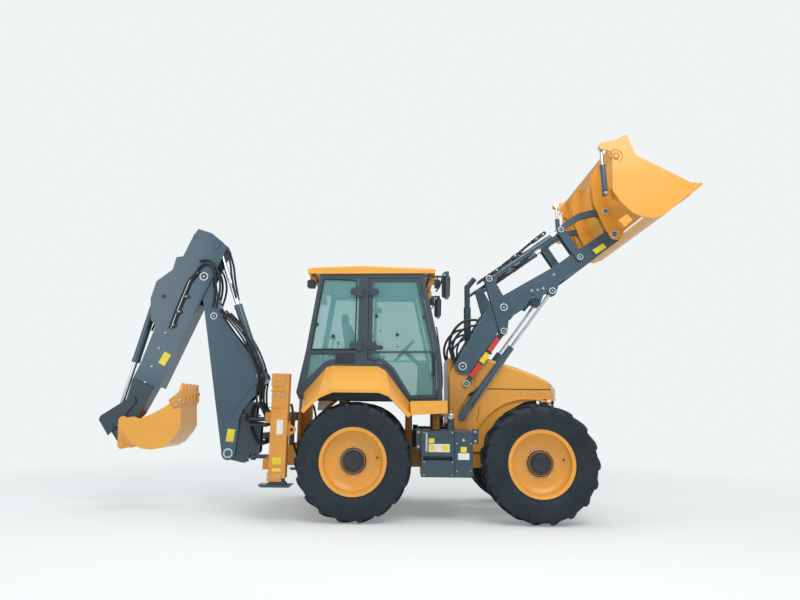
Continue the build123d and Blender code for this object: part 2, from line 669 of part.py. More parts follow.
with BuildPart() as cab_glass:
    for outline in (REAR_WINDOW, LOW_WINDOW):
        slab(outline, CAB_HALF - 16, CAB_HALF - 16 + GLASS_T, inset=SEAT_GAP)
    mirror(about=Plane.XZ)
    half = SCREEN_HALF - SEAT_GAP
    slab([(776, SCREEN_TOP - SEAT_GAP), (776 + GLASS_T, SCREEN_TOP - SEAT_GAP),
          (979 + GLASS_T, 1934), (998 + GLASS_T, SCREEN_LOW + SEAT_GAP),
          (998, SCREEN_LOW + SEAT_GAP), (979, 1934)], -half, half)
    slab([(-476, REAR_TOP - SEAT_GAP), (-476 + GLASS_T, REAR_TOP - SEAT_GAP),
          (-603 + GLASS_T, REAR_LOW + SEAT_GAP), (-603, REAR_LOW + SEAT_GAP)], -half, half)
keep(cab_glass, "cab_glass")

for side, hand in SIDES:
    with BuildPart() as door:
        low, high = sorted((side * (CAB_HALF - DOOR_T), side * CAB_HALF))
        slab(DOOR_OPENING, low, high, inset=DOOR_GAP)
        slab(DOOR_OPENING, low, high, Mode.SUBTRACT, inset=DOOR_GAP + DOOR_FRAME)
        for z in HINGE_Z:
            y_wall = side * (CAB_HALF - 1)
            y_strap = side * (CAB_HALF + 6)
            box(DOOR_HINGE_X, DOOR_HINGE_X + 90, min(y_wall, y_strap) if side > 0 else y_strap,
                y_strap if side > 0 else y_wall, z + 2, z + 40)
            box(DOOR_HINGE_X, 118 + DOOR_GAP, min(y_wall, side * CAB_HALF),
                max(y_wall, side * CAB_HALF), z + 2, z + 40, Mode.SUBTRACT)
            with BuildSketch(Plane.XY.offset(z + 2)) as barrel:
                with Locations((DOOR_HINGE_X, side * HINGE_Y)):
                    Circle(12)
            extrude(barrel.sketch, amount=38)
            with BuildSketch(Plane.XY.offset(z + 2)) as bore:
                with Locations((DOOR_HINGE_X, side * HINGE_Y)):
                    Circle(HINGE_PIN_R + PLAY)
            extrude(bore.sketch, amount=38, mode=Mode.SUBTRACT)
        # outside handle
        y_handle = sorted((side * CAB_HALF, side * (CAB_HALF + 30)))
        for z in (1700, 1860):
            box(926, 942, y_handle[0], y_handle[1], z, z + 16)
        y_grip = sorted((side * (CAB_HALF + 18), side * (CAB_HALF + 30)))
        box(926, 942, y_grip[0], y_grip[1], 1700, 1876)
    keep(door, f"door_{hand}")
    with BuildPart() as pane:
        low, high = sorted((side * (CAB_HALF - 16), side * (CAB_HALF - 16 + GLASS_T)))
        slab(DOOR_OPENING, low, high, inset=DOOR_GAP + DOOR_FRAME + SEAT_GAP)
    keep(pane, f"door_{hand}_glass")

with BuildPart() as cab_interior:
    box(-40, 240, -170, 170, PLATFORM_Z, 1690)                        # seat base
    slab([(-90, 1700), (330, 1715), (350, 1790), (310, 1830), (-60, 1800)], -240, 240)
    slab([(-140, 1780), (-60, 1780), (-60, 1830), (-190, 2340), (-250, 2340)], -230, 230)
    slab([(-200, 2340), (-250, 2340), (-280, 2490), (-220, 2490)], -130, 130)
    box(-60, 260, -220, 220, 1688, 1704)
    slab([(740, FLOOR_Z), (940, FLOOR_Z), (930, 1700), (860, 1880), (760, 1860)], -200, 200)
    strut((820, 1800), (560, 2040), 0, 345, 32, 0)
    wheel_plane = Plane(origin=(575, 0, 2027), x_dir=(0, 1, 0), z_dir=(-260, 0, 240))
    with BuildSketch(wheel_plane) as ring:
        Circle(190)
        Circle(165, mode=Mode.SUBTRACT)
        for turn in (90, 210, 330):
            with Locations(Location((0, 0), turn)):
                Rectangle(350, 30)
        Circle(45)
    extrude(ring.sketch, amount=24)
    for y in (-330, 250):
        box(-420, -330, y, y + 80, PLATFORM_Z, 2020)
keep(cab_interior, "cab_interior")

# ================================================================ loader
ARM_OUTLINE = [
    (1215, 1835), (1313, 2004), (1640, 2560), (1822, 2704), (2494, 3097), (2760, 3290),
    (3235, 3612), (3335, 3450), (2822, 3059), (2560, 2905), (2512, 2770), (2392, 2745),
    (2190, 2687), (2088, 2539), (1893, 2410), (1782, 2269), (1368, 1691), (1330, 1700)]
SLOT = (ARM_MID - SLOT_HALF, ARM_MID + SLOT_HALF)
EYE = (ARM_MID - EYE_HALF, ARM_MID + EYE_HALF)

with BuildPart() as loader_arms:
    slab(ARM_OUTLINE, ARM_IN, ARM_OUT)
    disc(ARM_PIVOT, 95, ARM_IN, ARM_OUT)
    disc(BUCKET_LOW_PIN, 95, ARM_IN, ARM_OUT)
    disc(LIFT_EYE_PIN, 62, ARM_IN, ARM_OUT)
    # forks at the tower and round the lift rod's eye
    disc(ARM_PIVOT, 200, *SLOT, Mode.SUBTRACT)
    link_bar(LIFT_EYE_PIN, along(LIFT_EYE_PIN, LIFT_BASE_PIN, 200), 140, *SLOT, Mode.SUBTRACT)
    disc(ARM_PIVOT, PIN_R, ARM_IN, ARM_OUT)
    disc(ARM_PIVOT, 48, ARM_OUT, ARM_OUT + 10)
    for y in (ARM_IN - 8, ARM_OUT):
        disc(LIFT_EYE_PIN, 40, y, y + 8)
    drill(ROCKER_PIVOT, PIN_R, ARM_IN, ARM_OUT)
    drill(LEVER_LOW_PIN, LEVER_PIN_R, ARM_IN, ARM_OUT)
    drill(BUCKET_LOW_PIN, PIN_R, ARM_IN, ARM_OUT)
    disc(TORQUE_TUBE, TORQUE_TUBE_R, 0, ARM_IN)
    mirror(about=Plane.XZ)
keep(loader_arms, "loader_arms")

with BuildPart() as levelling_links:
    for low, high in LINK_LAYERS:
        link_bar(LINK_LOW_PIN, LINK_HIGH_PIN, 66, low, high)
        disc(LINK_LOW_PIN, 38, low, high)
        disc(LINK_HIGH_PIN, 38, low, high)
    disc(LINK_LOW_PIN, PIN_R, LINK_LAYERS[0][0], LINK_LAYERS[1][1])
    # spacer between the two bars
    middle = along(LINK_LOW_PIN, LINK_HIGH_PIN, span(LINK_LOW_PIN, LINK_HIGH_PIN) / 2)
    link_bar(middle, along(middle, LINK_HIGH_PIN, 250), 40, LINK_LAYERS[0][1], LINK_LAYERS[1][0])
    mirror(about=Plane.XZ)
keep(levelling_links, "levelling_links")

ROCKER_OUTLINE = [(1597, 2895), (1768, 2235), (1868, 2250), (1905, 2545), (1820, 2702),
                  (1700, 2925)]
with BuildPart() as rockers:
    for low, high in ((INNER_IN, INNER_OUT), (OUTER_IN, OUTER_OUT)):
        slab(ROCKER_OUTLINE, low, high)
        disc(TILT_BASE_PIN, 55, low, high)
        disc(ROCKER_PIVOT, 82, low, high)
        disc(LINK_HIGH_PIN, 50, low, high)
    for pin in (TILT_BASE_PIN, ROCKER_PIVOT):
        disc(pin, PIN_R, INNER_IN, OUTER_OUT)
    for pin, radius in ((TILT_BASE_PIN, 40), (ROCKER_PIVOT, 48), (LINK_HIGH_PIN, 40)):
        disc(pin, radius, OUTER_OUT, OUTER_OUT + 10)
    mirror(about=Plane.XZ)
keep(rockers, "rockers")

with BuildPart() as tilt_barrels:
    disc(TILT_BASE_PIN, 50, *EYE)
    strut(TILT_BASE_PIN, LEVER_TOP_PIN, 42, TILT_BARREL, TILT_BARREL_R, ARM_MID)
    strut(TILT_BASE_PIN, LEVER_TOP_PIN, TILT_BARREL - 45, TILT_BARREL, TILT_BARREL_R + 1, ARM_MID)
    drill(TILT_BASE_PIN, PIN_R, *EYE)
    strut(TILT_BASE_PIN, LEVER_TOP_PIN, 480, TILT_BARREL + 1, TILT_ROD_R + PLAY, ARM_MID,
          Mode.SUBTRACT)
    mirror(about=Plane.XZ)
keep(tilt_barrels, "tilt_barrels")

with BuildPart() as tilt_rods:
    disc(LEVER_TOP_PIN, 45, *EYE)
    strut(LEVER_TOP_PIN, TILT_BASE_PIN, 0, TILT_ROD, TILT_ROD_R, ARM_MID)
    mirror(about=Plane.XZ)
keep(tilt_rods, "tilt_rods")

with BuildPart() as link_pins:
    disc(BUCKET_HIGH_PIN, LEVER_PIN_R, INNER_OUT + SEAT_GAP, OUTER_IN - SEAT_GAP)
    mirror(about=Plane.XZ)
keep(link_pins, "link_pins")


def beside(start, end, share, lift):
    """A point this share of the way from start to end, and this far to its left."""
    run = span(start, end)
    x, z = along(start, end, run * share)
    return (x - (end[1] - start[1]) / run * lift, z + (end[0] - start[0]) / run * lift)


with BuildPart() as bucket_links:
    upper_edge = [(0, 45), (0.22, 92), (0.5, 118), (0.78, 92), (1, LINK_TIP_R - 2)]
    lower_edge = [(1, 2 - LINK_TIP_R), (0.78, 12), (0.5, 38), (0.22, 12), (0, -45)]
    bow = [beside(LEVER_TOP_PIN, BUCKET_HIGH_PIN, *p) for p in upper_edge + lower_edge]
    for low, high in ((ARM_IN, SLOT[0]), (SLOT[1], ARM_OUT)):
        slab(bow, low, high)
        disc(LEVER_TOP_PIN, 47, low, high)
        disc(BUCKET_HIGH_PIN, LINK_TIP_R, low, high)
        for pin in (LEVER_TOP_PIN, BUCKET_HIGH_PIN):
            drill(pin, LEVER_PIN_R, low, high)
    block = [(0.35, 95), (0.65, 95), (0.65, 45), (0.35, 45)]
    slab([beside(LEVER_TOP_PIN, BUCKET_HIGH_PIN, *p) for p in block], *SLOT)
    mirror(about=Plane.XZ)
keep(bucket_links, "bucket_links")

with BuildPart() as lever_pins:
    disc(LEVER_LOW_PIN, LEVER_PIN_R, INNER_IN - PIN_HEAD, OUTER_OUT + PIN_HEAD)
    disc(LEVER_LOW_PIN, LEVER_PIN_R + 12, INNER_IN - PIN_HEAD, INNER_IN - SEAT_GAP)
    disc(LEVER_LOW_PIN, LEVER_PIN_R + 12, OUTER_OUT + SEAT_GAP, OUTER_OUT + PIN_HEAD)
    mirror(about=Plane.XZ)
keep(lever_pins, "lever_pins")

with BuildPart() as front_levers:
    for low, high in ((INNER_IN, INNER_OUT), (OUTER_IN, OUTER_OUT)):
        link_bar(LEVER_LOW_PIN, LEVER_TOP_PIN, 100, low, high)
        drill(LEVER_LOW_PIN, LEVER_PIN_R, low, high)
    disc(LEVER_TOP_PIN, 40, OUTER_OUT, OUTER_OUT + 12)
    disc(LEVER_TOP_PIN, 40, INNER_IN - 12, INNER_IN)
    mirror(about=Plane.XZ)
keep(front_levers, "front_levers")

with BuildPart() as lift_barrels:
    for low, high in CLEVIS_LAYERS:
        link_bar(LIFT_BASE_PIN, along(LIFT_BASE_PIN, LIFT_EYE_PIN, 125), 84, low, high)
        disc(LIFT_BASE_PIN, 50, low, high)
    disc(LIFT_BASE_PIN, PIN_R, CLEVIS_LAYERS[0][0], CLEVIS_LAYERS[1][1])
    strut(LIFT_BASE_PIN, LIFT_EYE_PIN, 95, LIFT_BARREL, LIFT_BARREL_R, ARM_MID)
    strut(LIFT_BASE_PIN, LIFT_EYE_PIN, 150, LIFT_BARREL + 1, LIFT_ROD_R + PLAY, ARM_MID,
          Mode.SUBTRACT)
    mirror(about=Plane.XZ)
keep(lift_barrels, "lift_barrels")

with BuildPart() as lift_rods:
    disc(LIFT_EYE_PIN, 52, *EYE)
    strut(LIFT_EYE_PIN, LIFT_BASE_PIN, 0, LIFT_ROD, LIFT_ROD_R, ARM_MID)
    mirror(about=Plane.XZ)
keep(lift_rods, "lift_rods")

with BuildPart() as bucket_pins:
    disc(BUCKET_LOW_PIN, PIN_R, INNER_IN - PIN_HEAD, OUTER_OUT + PIN_HEAD)
    disc(BUCKET_LOW_PIN, PIN_R + 14, INNER_IN - PIN_HEAD, INNER_IN - SEAT_GAP)
    disc(BUCKET_LOW_PIN, PIN_R + 14, OUTER_OUT + SEAT_GAP, OUTER_OUT + PIN_HEAD)
    mirror(about=Plane.XZ)
keep(bucket_pins, "bucket_pins")

with BuildPart() as bucket_back:
    back_face = [(3120, 4540), (3170, 4400), (3180, 4050), (3230, 3840), (3315, 3690), (3420, 3584)]
    front_face = [(3436, 3600), (3330, 3706), (3248, 3852), (3200, 4055), (3190, 4402), (3142, 4547)]
    slab(back_face + front_face, 0, BACK_HALF)
    # curved ribs that carry the pins
    for low, high in ((INNER_IN, INNER_OUT), (OUTER_IN, OUTER_OUT)):
        slab([(3072, 4424), (3015, 4218), (3032, 3974), (3083, 3812), (3186, 3573), (3238, 3475),
              (3290, 3458), (3365, 3466), (3400, 3545), (3412, 3588), (3323, 3690), (3239, 3846),
              (3190, 4052), (3180, 4400), (3150, 4480)], low, high)
        drill(BUCKET_LOW_PIN, PIN_R, low, high)
    disc(BUCKET_HIGH_PIN, 40, OUTER_OUT, OUTER_OUT + 10)
    disc(BUCKET_HIGH_PIN, 40, INNER_IN - 10, INNER_IN)
    # end webs with the jaw's pivot, and the jaw cylinder's bracket
    slab([(3066, 4335), (3080, 4290), (3119, 4270), (3190, 4230), (3190, 4400), (3135, 4530),
          (3090, 4400)], BACK_HALF - 20, BACK_HALF)
    disc(JAW_PIVOT, 50, BACK_HALF - 20, BACK_HALF)
    disc(JAW_PIVOT, JAW_PIN_R, BACK_HALF - 20, BUCKET_HALF + 10)
    slab([(2950, 3850), (2990, 3832), (3230, 3790), (3190, 4020), (3030, 3930), (2950, 3910)],
         JAW_CYL_Y - 60, JAW_CYL_Y - 42)
    disc(JAW_CYL_BASE, 45, JAW_CYL_Y - 60, JAW_CYL_Y - 42)
    disc(JAW_CYL_BASE, JAW_CYL_PIN_R, JAW_CYL_Y - 60, JAW_CYL_Y + 25)
    mirror(about=Plane.XZ)
keep(bucket_back, "bucket_back")

with BuildPart() as bucket_jaw:
    plate_in = BUCKET_HALF - JAW_PLATE_T
    slab([(3261, 4625), (3160, 4560), (2990, 4512), (2925, 4490), (2925, 4440), (2990, 4418),
          (3080, 4390), (3060, 3890), (3149, 3752), (3283, 3615), (3420, 3562), (3543, 3549),
          (3678, 3602), (4149, 3999), (4016, 4007), (3370, 4348)], plate_in, BUCKET_HALF)
    disc(JAW_PIVOT, 52, plate_in, BUCKET_HALF)
    disc(JAW_EYE, 44, plate_in, BUCKET_HALF)
    disc(JAW_EYE, 30, plate_in - 12, plate_in)
    drill(JAW_PIVOT, JAW_PIN_R, plate_in, BUCKET_HALF)
    slab([(3420, 3562), (3543, 3549), (3678, 3602), (4149, 3999), (4135, 4013), (3666, 3624),
          (3545, 3571), (3446, 3580)], 0, plate_in)
    # bolted edge along the floor's lip
    slab([(3990, 3842), (4160, 3985), (4140, 4010), (3970, 3866)], 0, BUCKET_HALF)
    mirror(about=Plane.XZ)
keep(bucket_jaw, "bucket_jaw")

with BuildPart() as jaw_barrels:
    disc(JAW_CYL_BASE, 34, JAW_CYL_Y - 20, JAW_CYL_Y + 20)
    strut(JAW_CYL_BASE, JAW_EYE, 28, JAW_BARREL, JAW_BARREL_R, JAW_CYL_Y)
    drill(JAW_CYL_BASE, JAW_CYL_PIN_R, JAW_CYL_Y - 36, JAW_CYL_Y + 36)
    strut(JAW_CYL_BASE, JAW_EYE, 90, JAW_BARREL + 1, JAW_ROD_R + PLAY, JAW_CYL_Y, Mode.SUBTRACT)
    mirror(about=Plane.XZ)
keep(jaw_barrels, "jaw_barrels")

with BuildPart() as jaw_rods:
    disc(JAW_EYE, 32, JAW_CYL_Y - 20, JAW_CYL_Y + 20)
    strut(JAW_EYE, JAW_CYL_BASE, 0, JAW_ROD, JAW_ROD_R, JAW_CYL_Y)
    mirror(about=Plane.XZ)
keep(jaw_rods, "jaw_rods")

# ================================================================ backhoe
with BuildPart() as carriage:
    plate_rear = SLIDE_REAR - SLIDE_PLAY - CARRIAGE_T
    box(plate_rear, SLIDE_REAR - SLIDE_PLAY, -CARRIAGE_HALF, CARRIAGE_HALF,
        SLIDE_LOW - SLIDE_PLAY - 26, SLIDE_HIGH + SLIDE_PLAY + 26)
    for z in (SLIDE_LOW - SLIDE_PLAY - 26, SLIDE_HIGH + SLIDE_PLAY):
        box(plate_rear, SLIDE_REAR + 60, -CARRIAGE_HALF, CARRIAGE_HALF, z, z + 26)
    for z_low, z_high in LUG_LAYERS:
        with BuildSketch(Plane.XY.offset(z_low)) as lug:
            with Locations(((SWING_X + plate_rear) / 2, 0)):
                Rectangle(plate_rear - SWING_X, 120)
            with Locations((SWING_X, 0)):
                Circle(60)
                Circle(SWING_PIN_R + PLAY, mode=Mode.SUBTRACT)
        extrude(lug.sketch, amount=z_high - z_low)
    for y in (-52, 40):
        slab([(plate_rear, 700), (plate_rear - 90, 659), (plate_rear - 90, 612), (plate_rear, 580)],
             y, y + 12)
keep(carriage, "carriage")

with BuildPart() as kingpost:
    slab([(-1730, 640), (-1662, 600), (-1480, 560), (-1437, 560), (-1437, 671), (-1290, 671),
          (-1270, 700), (-1270, 1068), (-1437, 1068), (-1437, 1140), (-1340, 1140), (-1340, 1290),
          (-1375, 1325), (-1465, 1325), (-1500, 1200), (-1545, 1060), (-1560, 900), (-1610, 760),
          (-1720, 735)], KING_IN, KING_OUT)
    disc(BOOM_FOOT, 70, KING_IN, KING_OUT)
    mirror(about=Plane.XZ)
    box(-1540, -1432, -KING_IN, KING_IN, 600, 671)
    box(-1540, -1420, -KING_IN, KING_IN, 671, 1040)
    box(-1424, -1310, -KING_IN, KING_IN, 1140, 1165)
    hub_low = LUG_LAYERS[0][1] + FACE_GAP
    hub_high = LUG_LAYERS[1][0] - FACE_GAP
    for low, high, radius in ((hub_low, hub_high, 72), (590, 1150, SWING_PIN_R)):
        with BuildSketch(Plane.XY.offset(low)) as post:
            with Locations((SWING_X, 0)):
                Circle(radius)
        extrude(post.sketch, amount=high - low)
    disc(BOOM_CYL_BASE, HOE_PIN_R, -KING_OUT, KING_OUT)
    drill(BOOM_FOOT, HOE_PIN_R, -KING_OUT, KING_OUT)
keep(kingpost, "kingpost")

BOOM_OUTLINE = [
    (-2224, 2976), (-2120, 2624), (-1750, 690), (-1700, 600), (-1620, 600), (-1574, 680),
    (-1542, 1129), (-1499, 1226), (-1211, 1622), (-1226, 1680), (-1267, 1721), (-1726, 2256),
    (-1851, 2421), (-2008, 2834), (-2036, 2976)]
with BuildPart() as boom:
    plate_in = BOOM_HALF - BOOM_T
    slab(BOOM_OUTLINE, plate_in, BOOM_HALF)
    disc(BOOM_FOOT, 88, plate_in, BOOM_HALF)
    disc(DIPPER_PIVOT, 95, plate_in, BOOM_HALF)
    disc(BOOM_CYL_EYE, 50, BOOM_HALF, BOOM_HALF + 5)
    drill(DIPPER_PIVOT, DIPPER_PIN_R, plate_in, BOOM_HALF)
    # rear web, front web above the cylinder's eye, and the web under the knee
    slab([(-2134, 2700), (-2120, 2624), (-1786, 880), (-1772, 882), (-2106, 2626), (-2120, 2702)],
         0, plate_in)
    slab([(-1906, 2565), (-1990, 2785), (-2003, 2780), (-1919, 2560)], 0, plate_in)
    slab([(-1274, 1535), (-1211, 1622), (-1222, 1630), (-1285, 1543)], 0, plate_in)
    for pin in (BOOM_FOOT, KNEE_PIN):
        disc(pin, HOE_PIN_R, 0, BOOM_HALF)
        disc(pin, HOE_PIN_R + 12, BOOM_HALF, BOOM_HALF + 12)
    mirror(about=Plane.XZ)
keep(boom, "boom")


def hoe_cylinder(base, eye, barrel_end, bore_start, barrel_r, rod_r):
    """Barrel of a backhoe cylinder: base eye, tube, and the gland at its open end."""
    disc(base, 50, -50, 50)
    strut(base, eye, 42, barrel_end, barrel_r, 0)
    strut(base, eye, barrel_end - 50, barrel_end, barrel_r + 3, 0)
    drill(base, HOE_PIN_R, -60, 60)
    strut(base, eye, bore_start, barrel_end + 1, rod_r + PLAY, 0, Mode.SUBTRACT)


def hoe_rod(base, eye, length, rod_r, eye_r, eye_half):
    disc(eye, eye_r, -eye_half, eye_half)
    strut(eye, base, 0, length, rod_r, 0)


with BuildPart() as boom_barrel:
    hoe_cylinder(BOOM_CYL_BASE, BOOM_CYL_EYE, BOOM_BARREL, 75, HOE_BARREL_R, HOE_ROD_R)
keep(boom_barrel, "boom_barrel")
with BuildPart() as boom_rod:
    hoe_rod(BOOM_CYL_BASE, BOOM_CYL_EYE, BOOM_ROD, HOE_ROD_R, 48, 50)
keep(boom_rod, "boom_rod")
with BuildPart() as dipper_barrel:
    hoe_cylinder(KNEE_PIN, DIPPER_TAIL, DIPPER_BARREL, 130, HOE_BARREL_R, HOE_ROD_R)
keep(dipper_barrel, "dipper_barrel")
with BuildPart() as dipper_rod:
    hoe_rod(KNEE_PIN, DIPPER_TAIL, DIPPER_ROD, HOE_ROD_R, 48, 50)
keep(dipper_rod, "dipper_rod")
with BuildPart() as crowd_barrel:
    hoe_cylinder(CROWD_BASE, CROWD_EYE, CROWD_BARREL, 250, 52, CROWD_ROD_R)
keep(crowd_barrel, "crowd_barrel")
with BuildPart() as crowd_rod:
    hoe_rod(CROWD_BASE, CROWD_EYE, CROWD_ROD, CROWD_ROD_R, 42, 40)
keep(crowd_rod, "crowd_rod")

DIPPER_FRONT = ((-1857, 3371), (-2615, 1482))      # the dipper's straight front edge
DIPPER_SLOPE = (DIPPER_FRONT[1][0] - DIPPER_FRONT[0][0]) / (DIPPER_FRONT[0][1] - DIPPER_FRONT[1][1])


def behind_front(z, back):
    """The point at this height, this far behind the dipper's front edge."""
    return (DIPPER_FRONT[0][0] + (DIPPER_FRONT[0][1] - z) * DIPPER_SLOPE - back, z)


with BuildPart() as dipper:
    plate_in = DIPPER_HALF - DIPPER_T
    slab([(-2255, 3641), (-2068, 3584), (-1902, 3452), DIPPER_FRONT[0], DIPPER_FRONT[1],
          (-2901, 1600), (-2937, 1600), (-2724, 2296), (-2796, 2384), (-2822, 2670),
          (-2765, 2906), (-2561, 3068), (-2523, 3241), (-2434, 3256), (-2313, 3553)],
         plate_in, DIPPER_HALF)
    disc((-2651, 2703), 22, plate_in, DIPPER_HALF, Mode.SUBTRACT)
    # front web below the boom, and the web round the back and top
    slab([behind_front(2600, 0), behind_front(1494, 0), behind_front(1494, 17),
          behind_front(2600, 17)], 0, plate_in)
    slab([(-2020, 3546), (-2068, 3584), (-2255, 3641), (-2313, 3553), (-2434, 3256),
          (-2523, 3241), (-2561, 3068), (-2765, 2906), (-2756, 2895), (-2549, 3060),
          (-2511, 3229), (-2424, 3243), (-2301, 3547), (-2249, 3625), (-2075, 3570),
          (-2029, 3535)], 0, plate_in)
    # wear pads that guide the stick
    slab([behind_front(1700, 17), behind_front(1560, 17), behind_front(1560, STICK_BACK - 1),
          behind_front(1700, STICK_BACK - 1)], 0, plate_in)
    for z in (1620, 2280):
        slab([behind_front(z + 90, 80), behind_front(z, 80), behind_front(z, 300),
              behind_front(z + 90, 300)], STICK_HALF + SLIDE_PLAY, plate_in)
    disc(DIPPER_PIVOT, DIPPER_PIN_R, 0, DIPPER_HALF + 12)
    disc((-2286, 3541), 30, 0, DIPPER_HALF + 8)
    disc(DIPPER_TAIL, 46, DIPPER_HALF, DIPPER_HALF + 10)
    mirror(about=Plane.XZ)
keep(dipper, "dipper")

with BuildPart() as stick:
    slab([behind_front(2560, STICK_BACK), (-2380, 2830), (-2478, 2830),
          behind_front(1586, STICK_BACK + STICK_DEPTH), (-3085, 1067), (-2960, 1030),
          (-2840, 1150), (-2645, 1560), behind_front(1600, STICK_BACK)], -STICK_HALF, STICK_HALF)
    disc(HOE_BUCKET_PIN, 60, -STICK_HALF, STICK_HALF)
    slab([behind_front(1560, STICK_BACK + 16), behind_front(2900, STICK_BACK + 16),
          behind_front(2900, STICK_BACK + STICK_DEPTH - 16),
          behind_front(1560, STICK_BACK + STICK_DEPTH - 16)],
         -STICK_HALF + 12, STICK_HALF - 12, Mode.SUBTRACT)
    # bracket of the bucket's cylinder
    for side, hand in SIDES:
        low, high = sorted((side * 56, side * 76))
        slab([(-2478, 2830), (-2440, 2740), (-2560, 2440), (-2790, 2722), (-2818, 2775),
              (-2774, 2813), (-2500, 2826)], low, high)
    disc(CROWD_BASE, HOE_PIN_R, -76, 76)
    box(-2480, -2440, -88, 88, 2700, 2745)
    drill(LEVER_PIN, HOE_PIN_R, -STICK_HALF, STICK_HALF)
    drill(HOE_BUCKET_PIN, HOE_PIN_R, -STICK_HALF, STICK_HALF)
keep(stick, "stick")

with BuildPart() as tipping_lever:
    slab([(-3350, 1073), (-3335, 1125), (-3175, 1232), (-2986, 1361), (-2931, 1357),
          (-2889, 1309), (-3213, 877)], LEVER_IN, LEVER_OUT)
    disc(LEVER_PIN, HOE_PIN_R, 0, LEVER_OUT)
    disc(LEVER_PIN, HOE_PIN_R + 12, LEVER_OUT, LEVER_OUT + 8)
    disc(CROWD_EYE, 25, 46, LEVER_OUT)
    disc(CROWD_EYE, 38, LEVER_OUT, LEVER_OUT + 8)
    mirror(about=Plane.XZ)
keep(tipping_lever, "tipping_lever")

with BuildPart() as tipping_link:
    link_bar(CROWD_EYE, HOE_BUCKET_LINK_PIN, 84, LINK_PLATE_IN, LINK_PLATE_OUT)
    disc(HOE_BUCKET_LINK_PIN, 42, LINK_PLATE_OUT, LEVER_OUT)
    drill(CROWD_EYE, 25, LINK_PLATE_IN, LINK_PLATE_OUT)
    middle = along(CROWD_EYE, HOE_BUCKET_LINK_PIN, span(CROWD_EYE, HOE_BUCKET_LINK_PIN) / 2)
    disc(middle, 24, 0, LINK_PLATE_IN)
    mirror(about=Plane.XZ)
keep(tipping_link, "tipping_link")

HOE_TEETH = 5
with BuildPart() as hoe_bucket:
    outer = [(-2256, 1409), (-2223, 1010), (-2259, 928), (-2360, 796), (-2449, 744),
             (-2572, 721), (-2706, 735), (-2815, 790), (-2909, 899), (-2968, 969)]
    inner = [(-2955, 980), (-2896, 909), (-2805, 802), (-2700, 750), (-2573, 737),
             (-2455, 759), (-2371, 808), (-2274, 936), (-2239, 1012), (-2272, 1408)]
    mouth = [(-2993, 1060), (-2980, 1096), (-2827, 1123), (-2740, 1099), (-2581, 1167),
             (-2407, 1273)]
    slab(outer + inner, 0, HOE_BUCKET_HALF)
    slab(outer + mouth, HOE_BUCKET_HALF - 16, HOE_BUCKET_HALF)
    slab([(-3085, 1067), (-3070, 769), (-3015, 714), (-2900, 740), (-2800, 800), (-2895, 909),
          (-2955, 980), (-2965, 1067)], EAR_IN, EAR_OUT)
    disc(HOE_BUCKET_PIN, 60, EAR_IN, EAR_OUT)
    disc(HOE_BUCKET_LINK_PIN, 56, EAR_IN, EAR_OUT)
    disc(HOE_BUCKET_LINK_PIN, 36, EAR_OUT, EAR_OUT + 8)
    disc(HOE_BUCKET_PIN, HOE_PIN_R, 0, EAR_OUT + 8)
    mirror(about=Plane.XZ)
    for tooth in range(HOE_TEETH):
        y = (tooth / (HOE_TEETH - 1) - 0.5) * 2 * (HOE_BUCKET_HALF - 34)
        slab([(-2290, 1330), (-2286, 1425), (-2256, TOOTH_TIP), (-2240, TOOTH_TIP),
              (-2226, 1420), (-2216, 1320), (-2240, 1290)], y - 32, y + 32)
keep(hoe_bucket, "hoe_bucket")

# ================================================================ stabilisers
for side, hand in SIDES:
    with BuildPart() as leg:
        inset_by = POST_WALL + LEG_GAP
        low, high = sorted((side * (POST_IN + inset_by), side * (POST_OUT - inset_by)))
        box(POST_REAR + inset_by, POST_FRONT - inset_by, low, high, PAD_LOW + PAD_T, 1500)
        y_mid = side * (POST_IN + POST_OUT) / 2
        with BuildSketch(Plane.XZ.offset(-y_mid - 90)) as pad:
            with BuildLine():
                Polyline((PAD_REAR, PAD_LOW + PAD_T), (PAD_REAR + 30, PAD_LOW),
                         (PAD_FRONT - 30, PAD_LOW), (PAD_FRONT, PAD_LOW + PAD_T), close=True)
            make_face()
        extrude(pad.sketch, amount=180)
        slab([(leg_x - 110, PAD_LOW + PAD_T), (leg_x - 70, PAD_LOW + PAD_T + 46),
              (leg_x + 70, PAD_LOW + PAD_T + 46), (leg_x + 110, PAD_LOW + PAD_T)],
             y_mid - 60, y_mid + 60)
    keep(leg, f"leg_{hand}")

# ================================================================ export
boxes = [part.bounding_box() for part in finished.values()]
shift = -(min(b.min.X for b in boxes) + max(b.max.X for b in boxes)) / 2
for name, part in finished.items():
    placed = part.moved(Location((shift, 0, 0)))
    placed.label = name
    export_step(placed, f"parts/{name}.step")
print("shift", round(shift, 3))
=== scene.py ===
import bpy
import bmesh
import math
from mathutils import Matrix, Vector


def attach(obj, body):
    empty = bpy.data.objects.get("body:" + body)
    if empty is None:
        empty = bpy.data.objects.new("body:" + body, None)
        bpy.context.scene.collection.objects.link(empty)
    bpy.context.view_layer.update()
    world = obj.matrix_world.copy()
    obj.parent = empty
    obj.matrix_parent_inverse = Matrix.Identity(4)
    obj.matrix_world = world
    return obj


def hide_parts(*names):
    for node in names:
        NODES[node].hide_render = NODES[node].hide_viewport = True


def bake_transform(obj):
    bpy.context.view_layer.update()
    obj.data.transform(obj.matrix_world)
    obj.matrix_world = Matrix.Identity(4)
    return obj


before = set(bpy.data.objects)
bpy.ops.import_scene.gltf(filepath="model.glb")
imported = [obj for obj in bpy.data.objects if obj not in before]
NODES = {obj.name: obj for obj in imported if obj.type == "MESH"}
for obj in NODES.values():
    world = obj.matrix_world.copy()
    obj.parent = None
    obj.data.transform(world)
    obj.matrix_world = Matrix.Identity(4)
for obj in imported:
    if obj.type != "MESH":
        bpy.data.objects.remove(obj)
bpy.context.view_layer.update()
SX = -0.405            # row frame x of the rear axle, in metres
